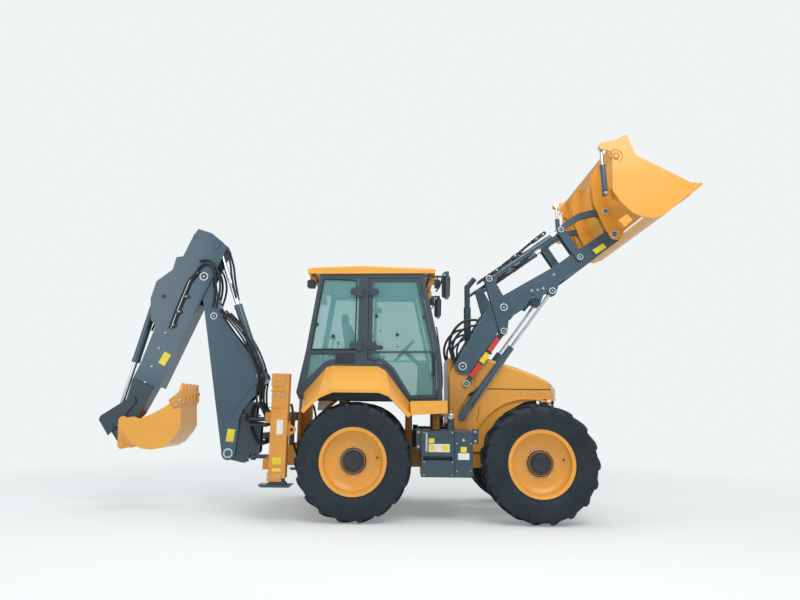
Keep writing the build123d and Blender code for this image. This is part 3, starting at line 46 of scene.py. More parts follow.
SIDES = (("right", -1), ("left", 1))
LENS_MM, SENSOR_MM = 26.5671, 36.0
CAMERA_AT = (0.5077 + SX, -7.8844, 1.2559)
CAMERA_TILT, CAMERA_ROLL = 10.495, 0.772
FLOOR_REACH = 60
BACKDROP_WHITE = (0.868, 0.905, 0.905, 1)
EDGE_ANGLE = math.radians(35)


# ------------------------------------------------------------------ camera
def make_camera():
    data = bpy.data.cameras.new("camera")
    cam = bpy.data.objects.new("camera", data)
    bpy.context.scene.collection.objects.link(cam)
    data.sensor_width = SENSOR_MM
    data.lens = LENS_MM
    data.clip_end = 200.0
    cam.matrix_world = (
        Matrix.Translation(CAMERA_AT)
        @ Matrix.Rotation(math.radians(90 + CAMERA_TILT), 4, "X")
        @ Matrix.Rotation(math.radians(CAMERA_ROLL), 4, "Z")
    )
    bpy.context.scene.camera = cam


make_camera()


# ------------------------------------------------------------------ materials
def new_mat(name):
    m = bpy.data.materials.new(name)
    m.use_nodes = True
    nt = m.node_tree
    return m, nt, nt.nodes["Principled BSDF"]


def noise(nt, scale, detail=3.0, rough=0.5):
    tc = nt.nodes.new("ShaderNodeTexCoord")
    n = nt.nodes.new("ShaderNodeTexNoise")
    n.inputs["Scale"].default_value = scale
    n.inputs["Detail"].default_value = detail
    n.inputs["Roughness"].default_value = rough
    nt.links.new(tc.outputs["Object"], n.inputs["Vector"])
    return n


def ramp(nt, source, stops):
    r = nt.nodes.new("ShaderNodeValToRGB")
    els = r.color_ramp.elements
    while len(els) > len(stops):
        els.remove(els[-1])
    while len(els) < len(stops):
        els.new(0.5)
    for e, (p, c) in zip(els, stops):
        e.position = p
        e.color = (*c, 1.0) if len(c) == 3 else c
    nt.links.new(source, r.inputs["Fac"])
    return r


def bump(nt, bsdf, source, strength, distance=0.001):
    b = nt.nodes.new("ShaderNodeBump")
    b.inputs["Strength"].default_value = strength
    b.inputs["Distance"].default_value = distance
    nt.links.new(source, b.inputs["Height"])
    nt.links.new(b.outputs["Normal"], bsdf.inputs["Normal"])
    return b


ORANGE_PEEL = 0.12


def paint(name, colour, rough=0.34, coat=0.35, vary=0.10, dust=0.0):
    """Sprayed paint: small colour drift, orange peel, and a film of road dust in the broad patches."""
    m, nt, b = new_mat(name)
    big = noise(nt, 1.3, 4.0, 0.55)
    dark = tuple(c * (1 - vary) for c in colour)
    light = tuple(min(1.0, c * (1 + vary * 0.6)) for c in colour)
    col = ramp(nt, big.outputs["Fac"], [(0.35, dark), (0.65, light)])
    out = col.outputs["Color"]
    if dust:
        fine = noise(nt, 7.0, 6.0, 0.7)
        mask = ramp(nt, fine.outputs["Fac"], [(0.45, (0, 0, 0)), (0.75, (dust, dust, dust))])
        mix = nt.nodes.new("ShaderNodeMix")
        mix.data_type = "RGBA"
        nt.links.new(mask.outputs["Color"], mix.inputs["Factor"])
        nt.links.new(out, mix.inputs[6])
        mix.inputs[7].default_value = (0.32, 0.30, 0.27, 1)
        out = mix.outputs[2]
    nt.links.new(out, b.inputs["Base Color"])
    rr = ramp(nt, noise(nt, 14.0, 5.0, 0.6).outputs["Fac"],
              [(0.3, (rough * 0.82,) * 3), (0.7, (rough * 1.25,) * 3)])
    nt.links.new(rr.outputs["Color"], b.inputs["Roughness"])
    b.inputs["Coat Weight"].default_value = coat
    b.inputs["Coat Roughness"].default_value = 0.12
    bump(nt, b, noise(nt, 160.0, 2.0, 0.5).outputs["Fac"], ORANGE_PEEL, 0.0006)
    return m


def rubber(name, colour, rough=0.72, grain=90.0, strength=0.3, patches=3.0):
    m, nt, b = new_mat(name)
    col = ramp(nt, noise(nt, patches, 6.0, 0.6).outputs["Fac"],
               [(0.3, tuple(c * 0.72 for c in colour)), (0.7, tuple(c * 1.35 for c in colour))])
    nt.links.new(col.outputs["Color"], b.inputs["Base Color"])
    rr = ramp(nt, noise(nt, 22.0, 4.0, 0.6).outputs["Fac"],
              [(0.3, (rough * 0.85,) * 3), (0.7, (min(1, rough * 1.15),) * 3)])
    nt.links.new(rr.outputs["Color"], b.inputs["Roughness"])
    b.inputs["Specular IOR Level"].default_value = 0.42
    bump(nt, b, noise(nt, grain, 6.0, 0.65).outputs["Fac"], strength, 0.0012)
    return m


def metal(name, colour, rough, brushed=0.0):
    m, nt, b = new_mat(name)
    b.inputs["Metallic"].default_value = 1.0
    tc = nt.nodes.new("ShaderNodeTexCoord")
    n = nt.nodes.new("ShaderNodeTexNoise")
    n.inputs["Scale"].default_value = 40.0
    n.inputs["Detail"].default_value = 6.0
    nt.links.new(tc.outputs["Object"], n.inputs["Vector"])
    col = ramp(nt, n.outputs["Fac"], [(0.3, tuple(c * 0.86 for c in colour)), (0.7, colour)])
    nt.links.new(col.outputs["Color"], b.inputs["Base Color"])
    rr = ramp(nt, n.outputs["Fac"], [(0.3, (rough * 0.7,) * 3), (0.75, (rough * 1.4,) * 3)])
    nt.links.new(rr.outputs["Color"], b.inputs["Roughness"])
    if brushed:
        bump(nt, b, n.outputs["Fac"], brushed, 0.0005)
    return m


def glass(name, tint, alpha):
    """Tinted safety glass with a faint waviness in its reflection."""
    m, nt, b = new_mat(name)
    col = ramp(nt, noise(nt, 0.9, 2.0).outputs["Fac"],
               [(0.3, tuple(c * 0.85 for c in tint)), (0.7, tint)])
    nt.links.new(col.outputs["Color"], b.inputs["Base Color"])
    b.inputs["Roughness"].default_value = 0.03
    b.inputs["IOR"].default_value = 1.5
    b.inputs["Alpha"].default_value = alpha
    b.inputs["Specular IOR Level"].default_value = 0.9
    b.inputs["Coat Weight"].default_value = 1.0
    b.inputs["Coat Roughness"].default_value = 0.02
    bump(nt, b, noise(nt, 2.2, 1.0).outputs["Fac"], 0.05, 0.01)
    return m


def plastic(name, colour, rough=0.55, grain=240.0, strength=0.25):
    m, nt, b = new_mat(name)
    col = ramp(nt, noise(nt, 5.0, 4.0).outputs["Fac"],
               [(0.3, tuple(c * 0.8 for c in colour)), (0.7, tuple(c * 1.15 for c in colour))])
    nt.links.new(col.outputs["Color"], b.inputs["Base Color"])
    rr = ramp(nt, noise(nt, 30.0, 3.0).outputs["Fac"],
              [(0.3, (rough * 0.85,) * 3), (0.7, (rough * 1.15,) * 3)])
    nt.links.new(rr.outputs["Color"], b.inputs["Roughness"])
    bump(nt, b, noise(nt, grain, 3.0).outputs["Fac"], strength, 0.0006)
    return m


YELLOW = (0.84, 0.385, 0.050)
M = {
    "yellow": paint("yellow_paint", YELLOW, 0.36, 0.45, 0.06),
    "yellow_frame": paint("yellow_frame_paint", (0.66, 0.28, 0.040), 0.48, 0.15, 0.14, dust=0.12),
    "rim": paint("rim_paint", (0.78, 0.35, 0.045), 0.42, 0.25, 0.08),
    "blue": paint("slate_blue_paint", (0.042, 0.088, 0.128), 0.30, 0.55, 0.14),
    "blue_dark": paint("dark_slate_paint", (0.026, 0.050, 0.070), 0.36, 0.45, 0.16),
    "box": paint("box_paint", (0.026, 0.056, 0.080), 0.45, 0.3, 0.12, dust=0.05),
    "cab": paint("cab_frame_paint", (0.036, 0.058, 0.080), 0.42, 0.3, 0.12),
    "black": paint("black_paint", (0.016, 0.020, 0.026), 0.45, 0.2, 0.2, dust=0.06),
    "tyre": rubber("tyre_rubber", (0.0085, 0.017, 0.025), 0.62, 70.0, 0.35),
    "hose": rubber("hose_rubber", (0.012, 0.015, 0.019), 0.5, 220.0, 0.2, 12.0),
    "seal": rubber("seal_rubber", (0.010, 0.012, 0.014), 0.6, 180.0, 0.2, 9.0),
    "chrome": metal("chrome_rod", (0.80, 0.82, 0.84), 0.10),
    "steel": metal("zinc_steel", (0.62, 0.62, 0.60), 0.32, 0.15),
    "ring": paint("pin_ring_paint", (0.52, 0.60, 0.66), 0.3, 0.4, 0.05),
    "glass": glass("cab_glass", (0.20, 0.52, 0.52), 0.36),
    "lamp": plastic("lamp_lens", (0.72, 0.76, 0.78), 0.12, 60.0, 0.5),
    "plastic": plastic("black_plastic", (0.020, 0.022, 0.026)),
    "seat": rubber("seat_fabric", (0.045, 0.055, 0.062), 0.9, 600.0, 0.6, 20.0),
    "red": paint("red_stripe", (0.62, 0.035, 0.030), 0.4, 0.3, 0.06),
    "stripe": paint("yellow_stripe", (0.85, 0.62, 0.02), 0.4, 0.3, 0.05),
    "label": plastic("label_film", (0.82, 0.66, 0.03), 0.4, 400.0, 0.05),
    "label_white": plastic("label_film_white", (0.72, 0.73, 0.72), 0.4, 400.0, 0.05),
    "grille": plastic("grille_plastic", (0.030, 0.040, 0.050), 0.5),
}


def dress(key, *names):
    for n in names:
        o = NODES[n]
        o.data.materials.clear()
        o.data.materials.append(M[key])


dress("yellow", "hood", "body_panels", "cab_roof", "bucket_back", "bucket_jaw", "hoe_bucket")
dress("yellow_frame", "frame", "rear_frame")
dress("rim", *[n for n in NODES if n.startswith("rim_")])
dress("tyre", *[n for n in NODES if n.startswith("tyre_")])
dress("black", "drivetrain", *[n for n in NODES if n.startswith("knuckle_")])
dress("box", "side_tanks")
dress("blue", "loader_arms", "rockers", "front_levers", "boom", "dipper", "bucket_links",
      "tilt_barrels", "boom_barrel", "dipper_barrel", "crowd_barrel", "jaw_barrels", "lift_barrels")
dress("blue_dark", "kingpost", "carriage", "stick", "tipping_lever", "tipping_link",
      "levelling_links", "leg_right", "leg_left", "exhaust")
dress("cab", "cab_shell", "door_right", "door_left")
dress("glass", "cab_glass", "door_right_glass", "door_left_glass")
dress("plastic", "cab_interior")
dress("grille", "grille")
dress("chrome", "tilt_rods", "lift_rods", "jaw_rods", "boom_rod", "dipper_rod", "crowd_rod")
dress("ring", "lever_pins", "bucket_pins", "link_pins")


# ------------------------------------------------------------------ floor and light
def stage():
    bm = bmesh.new()
    far = FLOOR_REACH
    bm.faces.new([bm.verts.new((x, y, 0)) for x, y in
                  ((-far, -far), (far, -far), (far, far), (-far, far))])
    me = bpy.data.meshes.new("studio_floor")
    bm.to_mesh(me)
    bm.free()
    o = bpy.data.objects.new("studio_floor", me)
    bpy.context.scene.collection.objects.link(o)
    m, nt, b = new_mat("studio_paper")
    col = ramp(nt, noise(nt, 0.4, 2.0).outputs["Fac"],
               [(0.3, (0.83, 0.86, 0.86)), (0.7, (0.85, 0.88, 0.88))])
    nt.links.new(col.outputs["Color"], b.inputs["Base Color"])
    b.inputs["Roughness"].default_value = 0.9
    # far from the machine the camera sees the paper melt into the backdrop's own white
    glow = nt.nodes.new("ShaderNodeEmission")
    glow.inputs["Color"].default_value = BACKDROP_WHITE
    glow.inputs["Strength"].default_value = 1.0
    away = nt.nodes.new("ShaderNodeVectorMath")
    away.operation = "LENGTH"
    coords = nt.nodes.new("ShaderNodeTexCoord")
    depth = nt.nodes.new("ShaderNodeMapRange")
    depth.interpolation_type = "SMOOTHSTEP"
    depth.inputs["From Min"].default_value = 2.5
    depth.inputs["From Max"].default_value = 10.0
    depth.inputs["To Min"].default_value = 0.25
    depth.inputs["To Max"].default_value = 1.0
    seen = nt.nodes.new("ShaderNodeLightPath")
    share = nt.nodes.new("ShaderNodeMath")
    share.operation = "MULTIPLY"
    mixed = nt.nodes.new("ShaderNodeMixShader")
    nt.links.new(coords.outputs["Object"], away.inputs[0])
    nt.links.new(away.outputs["Value"], depth.inputs["Value"])
    nt.links.new(depth.outputs["Result"], share.inputs[0])
    nt.links.new(seen.outputs["Is Camera Ray"], share.inputs[1])
    nt.links.new(share.outputs["Value"], mixed.inputs["Fac"])
    nt.links.new(b.outputs["BSDF"], mixed.inputs[1])
    nt.links.new(glow.outputs["Emission"], mixed.inputs[2])
    nt.links.new(mixed.outputs["Shader"], nt.nodes["Material Output"].inputs["Surface"])
    me.materials.append(m)

    w = bpy.data.worlds.new("studio")
    bpy.context.scene.world = w
    w.use_nodes = True
    bg = w.node_tree.nodes["Background"]
    bg.inputs["Color"].default_value = (0.90, 0.95, 0.97, 1)
    bg.inputs["Strength"].default_value = 0.62
    white = w.node_tree.nodes.new("ShaderNodeBackground")
    white.inputs["Color"].default_value = BACKDROP_WHITE
    ray = w.node_tree.nodes.new("ShaderNodeLightPath")
    pick = w.node_tree.nodes.new("ShaderNodeMixShader")
    w.node_tree.links.new(ray.outputs["Is Camera Ray"], pick.inputs["Fac"])
    w.node_tree.links.new(bg.outputs["Background"], pick.inputs[1])
    w.node_tree.links.new(white.outputs["Background"], pick.inputs[2])
    w.node_tree.links.new(pick.outputs["Shader"],
                          w.node_tree.nodes["World Output"].inputs["Surface"])

    def area(name, loc, target, size, power, colour=(1, 1, 1)):
        d = bpy.data.lights.new(name, "AREA")
        d.shape = "RECTANGLE"
        d.size, d.size_y = size
        d.energy = power
        d.color = colour
        ob = bpy.data.objects.new(name, d)
        bpy.context.scene.collection.objects.link(ob)
        ob.location = loc
        ob.rotation_euler = (Vector(target) - Vector(loc)).to_track_quat("-Z", "Y").to_euler()

    area("key", (3.0, -7.0, 9.0), (0.2, 0, 1.6), (7, 5), 520, (1.0, 0.97, 0.93))
    area("top", (0.0, 0.5, 9.5), (0, 0, 1.0), (9, 6), 330, (0.95, 0.98, 1.0))
    area("fill", (-7.0, -6.0, 4.0), (-1, 0, 1.6), (5, 4), 110, (0.90, 0.96, 1.0))
    bpy.context.scene.view_settings.view_transform = "Standard"
    bpy.context.scene.view_settings.look = "None"
    bpy.context.scene.view_settings.exposure = 0.0


stage()


# ------------------------------------------------------------------ building helpers
def at(x, z, y=0.0):
    """A point given in millimetres from the rear axle, in the scene's metres."""
    return Vector((x / 1000 + SX, y / 1000, z / 1000))


def add_object(name, bm, keys, body, smooth=35.0, bevel=0.0, segments=2):
    bmesh.ops.recalc_face_normals(bm, faces=bm.faces)
    me = bpy.data.meshes.new(name)
    bm.to_mesh(me)
    bm.free()
    for key in keys:
        me.materials.append(M[key])
    if smooth:
        me.shade_smooth()
        me.set_sharp_from_angle(angle=math.radians(smooth))
    o = bpy.data.objects.new(name, me)
    bpy.context.scene.collection.objects.link(o)
    if bevel:
        mod = o.modifiers.new("edge", "BEVEL")
        mod.width = bevel
        mod.segments = segments
        mod.limit_method = "ANGLE"
        mod.angle_limit = EDGE_ANGLE
    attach(o, body)
    return o


def prism(bm, outline, y_low, y_high, mat=0):
    """A plate with this side outline (x, z in mm) between two widths."""
    low = [bm.verts.new(at(x, z, y_low)) for x, z in outline]
    high = [bm.verts.new(at(x, z, y_high)) for x, z in outline]
    faces = [bm.faces.new(low), bm.faces.new(high[::-1])]
    n = len(outline)
    for i in range(n):
        faces.append(bm.faces.new((low[i], high[i], high[(i + 1) % n], low[(i + 1) % n])))
    for f in faces:
        f.material_index = mat


def block(bm, x0, x1, y0, y1, z0, z1, mat=0):
    prism(bm, [(x0, z0), (x1, z0), (x1, z1), (x0, z1)], y0, y1, mat)


def lathe(bm, centre, profile, steps=32, mats=None, axis="Y"):
    """Revolve (distance along the axis, radius) points in mm about an axis through centre."""
    rings = []
    cx, cy, cz = centre
    for d, r in profile:
        if r < 0.01:
            if axis == "Y":
                rings.append([bm.verts.new(at(cx, cz, cy + d))])
            elif axis == "Z":
                rings.append([bm.verts.new(at(cx, cz + d, cy))])
            else:
                rings.append([bm.verts.new(at(cx + d, cz, cy))])
            continue
        ring = []
        for i in range(steps):
            a = 2 * math.pi * i / steps
            u, v = r * math.cos(a), r * math.sin(a)
            if axis == "Y":
                ring.append(bm.verts.new(at(cx + u, cz + v, cy + d)))
            elif axis == "Z":
                ring.append(bm.verts.new(at(cx + u, cz + d, cy + v)))
            else:
                ring.append(bm.verts.new(at(cx + d, cz + v, cy + u)))
        rings.append(ring)
    for k, (a, b) in enumerate(zip(rings, rings[1:])):
        mat = mats[k] if mats else 0
        for i in range(steps):
            j = (i + 1) % steps
            if len(a) == 1 and len(b) == 1:
                continue
            if len(a) == 1:
                f = bm.faces.new((a[0], b[i], b[j]))
            elif len(b) == 1:
                f = bm.faces.new((a[i], a[j], b[0]))
            else:
                f = bm.faces.new((a[i], a[j], b[j], b[i]))
            f.material_index = mat


def hex_bolt(bm, x, y, z, across, out, height=None, mat=0):
    """A hexagon head on a washer, standing out of a side face towards out (-1 or 1)."""
    height = height or across * 0.55
    r = across / math.sqrt(3)
    lathe(bm, (x, y, z), [(0, 0), (0, r * 1.25), (out * 2, r * 1.25), (out * 2, 0)], 16, [mat] * 3)
    lathe(bm, (x, y, z), [(out * 2, 0), (out * 2, r), (out * height * 0.85, r),
                          (out * height, r * 0.82), (out * height, 0)], 6, [mat] * 4)


def dome(bm, x, y, z, r, out, mat=0):
    lathe(bm, (x, y, z), [(0, r), (out * r * 0.35, r * 0.9), (out * r * 0.62, r * 0.6),
                          (out * r * 0.72, 0)], 14, [mat] * 3)


def ring_pin(bm, x, y, z, r, out, pale=0, dark=1):
    """A pin's end: pale retaining ring, a recess painted dark as painted shade, and the pin's face with
    its grease nipple.
    """
    lathe(bm, (x, y, z), [(0, r), (out * 9, r), (out * 12, r - 4), (out * 12, r * 0.72),
                          (out * 6, r * 0.66), (out * 6, r * 0.30), (out * 9, r * 0.24),
                          (out * 9, 0)], 28, [pale, pale, pale, pale, dark, dark, pale])


def pipe_curve(name, points, radius, key, smooth):
    cu = bpy.data.curves.new(name, "CURVE")
    cu.dimensions = "3D"
    cu.bevel_depth = radius / 1000
    cu.bevel_resolution = 3
    cu.use_fill_caps = True
    sp = cu.splines.new("NURBS" if smooth else "POLY")
    sp.points.add(len(points) - 1)
    for p, (x, z, y) in zip(sp.points, points):
        p.co = (*at(x, z, y), 1.0)
    if smooth:
        sp.order_u = 3
        sp.use_endpoint_u = True
        sp.resolution_u = 6
    cu.materials.append(M[key])
    return cu


def pipe(name, points, radius, key, body, smooth=True):
    """A pipe or hose through points (x, z, y in mm), as one curve."""
    o = bpy.data.objects.new(name, pipe_curve(name, points, radius, key, smooth))
    bpy.context.scene.collection.objects.link(o)
    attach(o, body)
    return o


def bending_hose(name, points, radius, key, bodies, start, end):
    """A hose through points (x, z, y in mm), turned into one mesh that is not attached to either body.
    """
    cu = pipe_curve(name + "_route", points, radius, key, True)
    route = bpy.data.objects.new(name + "_route", cu)
    bpy.context.scene.collection.objects.link(route)
    bpy.context.view_layer.update()
    me = bpy.data.meshes.new_from_object(route)
    bpy.data.objects.remove(route)
    o = bpy.data.objects.new(name, me)
    bpy.context.scene.collection.objects.link(o)
    me.shade_smooth()
    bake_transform(o)
    return o


def both(name, build, keys, body, **kw):
    """One object with the same detail on the right (-1) and the left (1)."""
    bm = bmesh.new()
    for side in (-1, 1):
        build(bm, side)
    return add_object(name, bm, keys, body, **kw)


def side_prism(bm, outline, y_a, y_b, side, mat=0):
    low, high = sorted((side * y_a, side * y_b))
    prism(bm, outline, low, high, mat)


# ------------------------------------------------------------------ tyres and wheels
TYRE_R, WHEEL_Y, WHEELBASE = 670.0, 864.0, 2132.0
CARCASS = [(150, 377), (163, 380), (168, 392), (164, 402), (172, 420), (182, 452), (186, 462),
           (188, 458), (192, 500), (193, 536), (196, 540), (196, 548), (193, 552), (191, 582),
           (184, 608), (172, 627), (150, 637), (90, 640), (0, 641)]
LUG_PATH = [(-8, 638, 0, 30, 1.0), (34, 639, 0, 30, 1.0), (78, 638, 0, 30, 1.0),
            (120, 637, 4, 29.5, 1.02), (152, 634, 14, 28, 1.06), (172, 625, 40, 24, 1.1),
            (183, 609, 66, 14.5, 1.12), (189, 586, 84, 9, 1.05), (190, 560, 90, 5, 0.9),
            (191, 540, 90, 2, 0.7)]


TYRE_STEPS, LUGS_PER_ROW = 96, 18
WHEEL_NUTS, NUT_CIRCLE = 10, 176
HUB_BOLTS, HUB_BOLT_CIRCLE = 8, 112


def make_tyre_mesh():
    """Carcass with sidewall rings, and two staggered rows of lugs that wrap the shoulder."""
    bm = bmesh.new()
    steps = TYRE_STEPS
    profile = [(-d, r) for d, r in CARCASS] + [(d, r) for d, r in CARCASS[-2::-1]]
    rings = []
    for d, r in profile:
        rings.append([bm.verts.new((r * math.sin(2 * math.pi * i / steps) / 1000, d / 1000,
                                    r * math.cos(2 * math.pi * i / steps) / 1000))
                      for i in range(steps)])
    for a, b in zip(rings, rings[1:]):
        for i in range(steps):
            j = (i + 1) % steps
            bm.faces.new((a[i], a[j], b[j], b[i]))
    for hand in (-1, 1):
        for turn in range(LUGS_PER_ROW):
            start = 360.0 / LUGS_PER_ROW * (turn + (0.5 if hand > 0 else 0))
            rows = []
            for y, r, lean, height, wide in LUG_PATH:
                share = min(1.0, max(0.0, (y + 8) / 186))
                angle = math.radians(start + 12.5 * (share ** 0.92) + (0.6 if r < 600 else 0))
                lean_r = math.radians(lean)
                half_foot, half_top = 31 * wide, 21 * wide
                row = []
                for off, h in ((-half_foot, -3), (-half_top - 2, height * 0.86),
                               (-half_top + 4, height), (half_top - 4, height),
                               (half_top + 2, height * 0.86), (half_foot, -3)):
                    rr = r + h * math.cos(lean_r)
                    yy = hand * (y + h * math.sin(lean_r))
                    aa = angle + off / r
                    row.append(bm.verts.new((rr * math.sin(aa) / 1000, yy / 1000,
                                             rr * math.cos(aa) / 1000)))
                rows.append(row)
            for a, b in zip(rows, rows[1:]):
                for i in range(5):
                    bm.faces.new((a[i], a[i + 1], b[i + 1], b[i]))
            bm.faces.new(rows[0])
            bm.faces.new(rows[-1][::-1])
    bmesh.ops.recalc_face_normals(bm, faces=bm.faces)
    return bm


for end, wheel_x in (("rear", 0.0), ("front", WHEELBASE)):
    for hand, side in SIDES:
        bm = make_tyre_mesh()
        bmesh.ops.translate(bm, verts=bm.verts, vec=at(wheel_x, TYRE_R, side * WHEEL_Y))
        tyre = add_object(f"tread_{end}_{hand}", bm, ["tyre"], f"wheel_{end}_{hand}", smooth=28)
        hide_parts(f"tyre_{end}_{hand}")
        # hub cap, wheel nuts, the cap's own bolts and the valve
        bm = bmesh.new()
        disc_y = side * (WHEEL_Y + 38)
        lathe(bm, (wheel_x, disc_y, TYRE_R),
              [(0, 152), (side * 22, 150), (side * 34, 142), (side * 41, 128), (side * 42, 96),
               (side * 52, 92), (side * 56, 84), (side * 57, 30), (side * 61, 26), (side * 61, 0)],
              48, [0] * 9)
        for i in range(WHEEL_NUTS):
            a = 2 * math.pi * (i + 0.5) / WHEEL_NUTS
            hex_bolt(bm, wheel_x + NUT_CIRCLE * math.cos(a), side * (WHEEL_Y + 37),
                     TYRE_R + NUT_CIRCLE * math.sin(a), 25, side, 20, 1)
        for i in range(HUB_BOLTS):
            a = 2 * math.pi * i / HUB_BOLTS
            hex_bolt(bm, wheel_x + HUB_BOLT_CIRCLE * math.cos(a), disc_y + side * 40.5,
                     TYRE_R + HUB_BOLT_CIRCLE * math.sin(a), 15, side, 8, 0)
        lathe(bm, (wheel_x + 268, side * (WHEEL_Y + 40), TYRE_R + 40),
              [(0, 9), (side * 26, 9), (side * 30, 6), (side * 44, 6), (side * 44, 0)], 12, [0] * 4)
        add_object(f"hub_{end}_{hand}", bm, ["black", "steel"], f"wheel_{end}_{hand}", smooth=30)
        bm = bmesh.new()
        lathe(bm, (wheel_x, side * WHEEL_Y, TYRE_R),
              [(side * 152, 381), (side * 161, 386), (side * 165, 381), (side * 163, 366),
               (side * 158, 358), (side * 120, 345), (side * 96, 341)], 72, [0] * 6)
        add_object(f"rim_lip_{end}_{hand}", bm, ["rim"], f"wheel_{end}_{hand}", smooth=40)

# ------------------------------------------------------------------ cab
CAB_Y = 700.0
# each door hinge's low and high z, and the rear and front ends of its two plates
HINGE_PLATES = ((2617, 2750, -104, 243), (1955, 2080, -96, 235))


def glass_knobs(bm, side, places):
    for x, z in places:
        lathe(bm, (x, side * (CAB_Y + 3), z),
              [(0, 20), (side * 8, 20), (side * 14, 13), (side * 14, 0)], 18, [1] * 3)


def cab_side(bm, side):
    y = CAB_Y + 2
    # the pillar's half of each hinge plate
    for z0, z1, x0, _ in HINGE_PLATES:
        mid = (z0 + z1) / 2
        side_prism(bm, [(x0, mid - 26), (x0 + 30, mid - 42), (-14, mid - 42), (-4, z0), (50, z0),
                        (50, z1), (-4, z1), (-14, mid + 42), (x0 + 30, mid + 42), (x0, mid + 26)],
                   y + 9, y + 21, side, 0)
        for x in (x0 + 32, 20):
            hex_bolt(bm, x, side * (y + 21), mid, 20, side, None, 0)
    glass_knobs(bm, side, ((-502, 2266), (-303, 2128)))
    # belt rail behind the door
    side_prism(bm, [(-628, 1916), (-10, 1922), (-10, 1944), (-622, 1938)], y - 4, y + 7, side, 0)
    # vent grille in the rear quarter
    side_prism(bm, [(-264, 1804), (-37, 1804), (-37, 1907), (-264, 1907)], y - 3, y + 8, side, 1)
    for i in range(6):
        z = 1816 + i * 15
        side_prism(bm, [(-252, z), (-49, z), (-49, z + 6), (-252, z + 6)], y + 8, y + 13, side, 0)


def door_side(bm, side):
    y = CAB_Y + 2
    # the door's half of each hinge plate
    for z0, z1, _, x1 in HINGE_PLATES:
        mid = (z0 + z1) / 2
        side_prism(bm, [(122, mid - 42), (x1 - 30, mid - 42), (x1, mid - 26), (x1, mid + 26),
                        (x1 - 30, mid + 42), (122, mid + 42)], y + 9, y + 21, side, 0)
        for x in (140, x1 - 32):
            hex_bolt(bm, x, side * (y + 21), mid, 20, side, None, 0)
    glass_knobs(bm, side, ((224, 2382), (807, 2381), (480, 2153)))
    # belt rail and the latch's handle
    side_prism(bm, [(124, 1924), (990, 1938), (986, 1960), (124, 1946)], y + 6, y + 15, side, 0)
    side_prism(bm, [(176, 1968), (300, 1968), (308, 1996), (300, 2018), (176, 2018)], y + 8, y + 20,
               side, 1)
    side_prism(bm, [(200, 1978), (290, 1978), (290, 2006), (200, 2006)], y + 20, y + 30, side, 0)


for hand, side in SIDES:
    bm = bmesh.new()
    door_side(bm, side)
    add_object(f"door_fittings_{hand}", bm, ["cab", "plastic"], f"door_{hand}", bevel=0.002)
both("cab_side_fittings", cab_side, ["cab", "plastic"], "chassis", bevel=0.002)


def frame_seals(bm, side):
    """Black seals round the rear quarter's window, just proud of the frame."""
    y = CAB_Y + 3
    quarter = [(-566, 1962), (-30, 1968), (-30, 2826), (-440, 2840)]
    for i, start in enumerate(quarter):
        a, b = Vector(start), Vector(quarter[(i + 1) % len(quarter)])
        d = (b - a).normalized()
        w = Vector((-d.y, d.x)) * 7
        side_prism(bm, [tuple(a - w), tuple(b - w), tuple(b + w), tuple(a + w)], y - 2, y + 5,
                   side, 0)


both("window_seals", frame_seals, ["seal"], "chassis", bevel=0.001)


def lamps(bm, side):
    # work lamps at the roof's corners
    for x0, x1, z0, z1, out in ((-652, -560, 2742, 2832, -1), (940, 1006, 2764, 2862, 1)):
        y0, y1 = 560, 670
        side_prism(bm, [(x0, z0 + 8), (x0 + 8, z0), (x1 - 8, z0), (x1, z0 + 8), (x1, z1 - 8),
                        (x1 - 8, z1), (x0 + 8, z1), (x0, z1 - 8)], y0, y1, side, 0)
        xf = x0 - 3 if out < 0 else x1 + 3
        lathe(bm, (xf - out * 3, side * 615, (z0 + z1) / 2),
              [(0, 38), (out * 6, 36), (out * 9, 20), (out * 10, 0)], 20, [1] * 3, "X")
        lathe(bm, ((x0 + x1) / 2, side * 615, z1 - 4), [(0, 9), (34, 9)], 10, [0], "Z")


both("work_lamps", lamps, ["plastic", "lamp"], "chassis", bevel=0.004)


def mirror_head(bm, side):
    side_prism(bm, [(1020, 2618), (1060, 2606), (1118, 2622), (1124, 2860), (1104, 2890),
                    (1040, 2880), (1016, 2850)], 742, 800, side, 0)


both("mirror_heads", mirror_head, ["plastic"], "chassis", bevel=0.012, segments=3)
for hand, side in SIDES:
    pipe(f"mirror_arm_{hand}", [(950, 2700, side * 690), (985, 2730, side * 730),
                                (1010, 2800, side * 765), (1040, 2925, side * 772),
                                (1070, 2925, side * 772), (1075, 2850, side * 772)], 9,
         "plastic", "chassis")
    pipe(f"grip_rail_{hand}", [(905, 1662, side * 706), (930, 1668, side * 752),
                               (931, 1720, side * 758), (931, 1850, side * 758),
                               (930, 1900, side * 752), (905, 1906, side * 706)], 11,
         "plastic", f"door_{hand}")
    pipe(f"pillar_pipe_{hand}", [(1030, 1500, side * 660), (1042, 1640, side * 664),
                                 (1000, 2000, side * 668), (962, 2260, side * 668)], 8,
         "hose", "chassis")
    pipe(f"front_wiper_{hand}", [(1046, 1560, side * 60), (1058, 1590, side * 80),
                                 (1046, 1800, side * 240), (1012, 2010, side * 330)], 6,
         "plastic", "chassis")


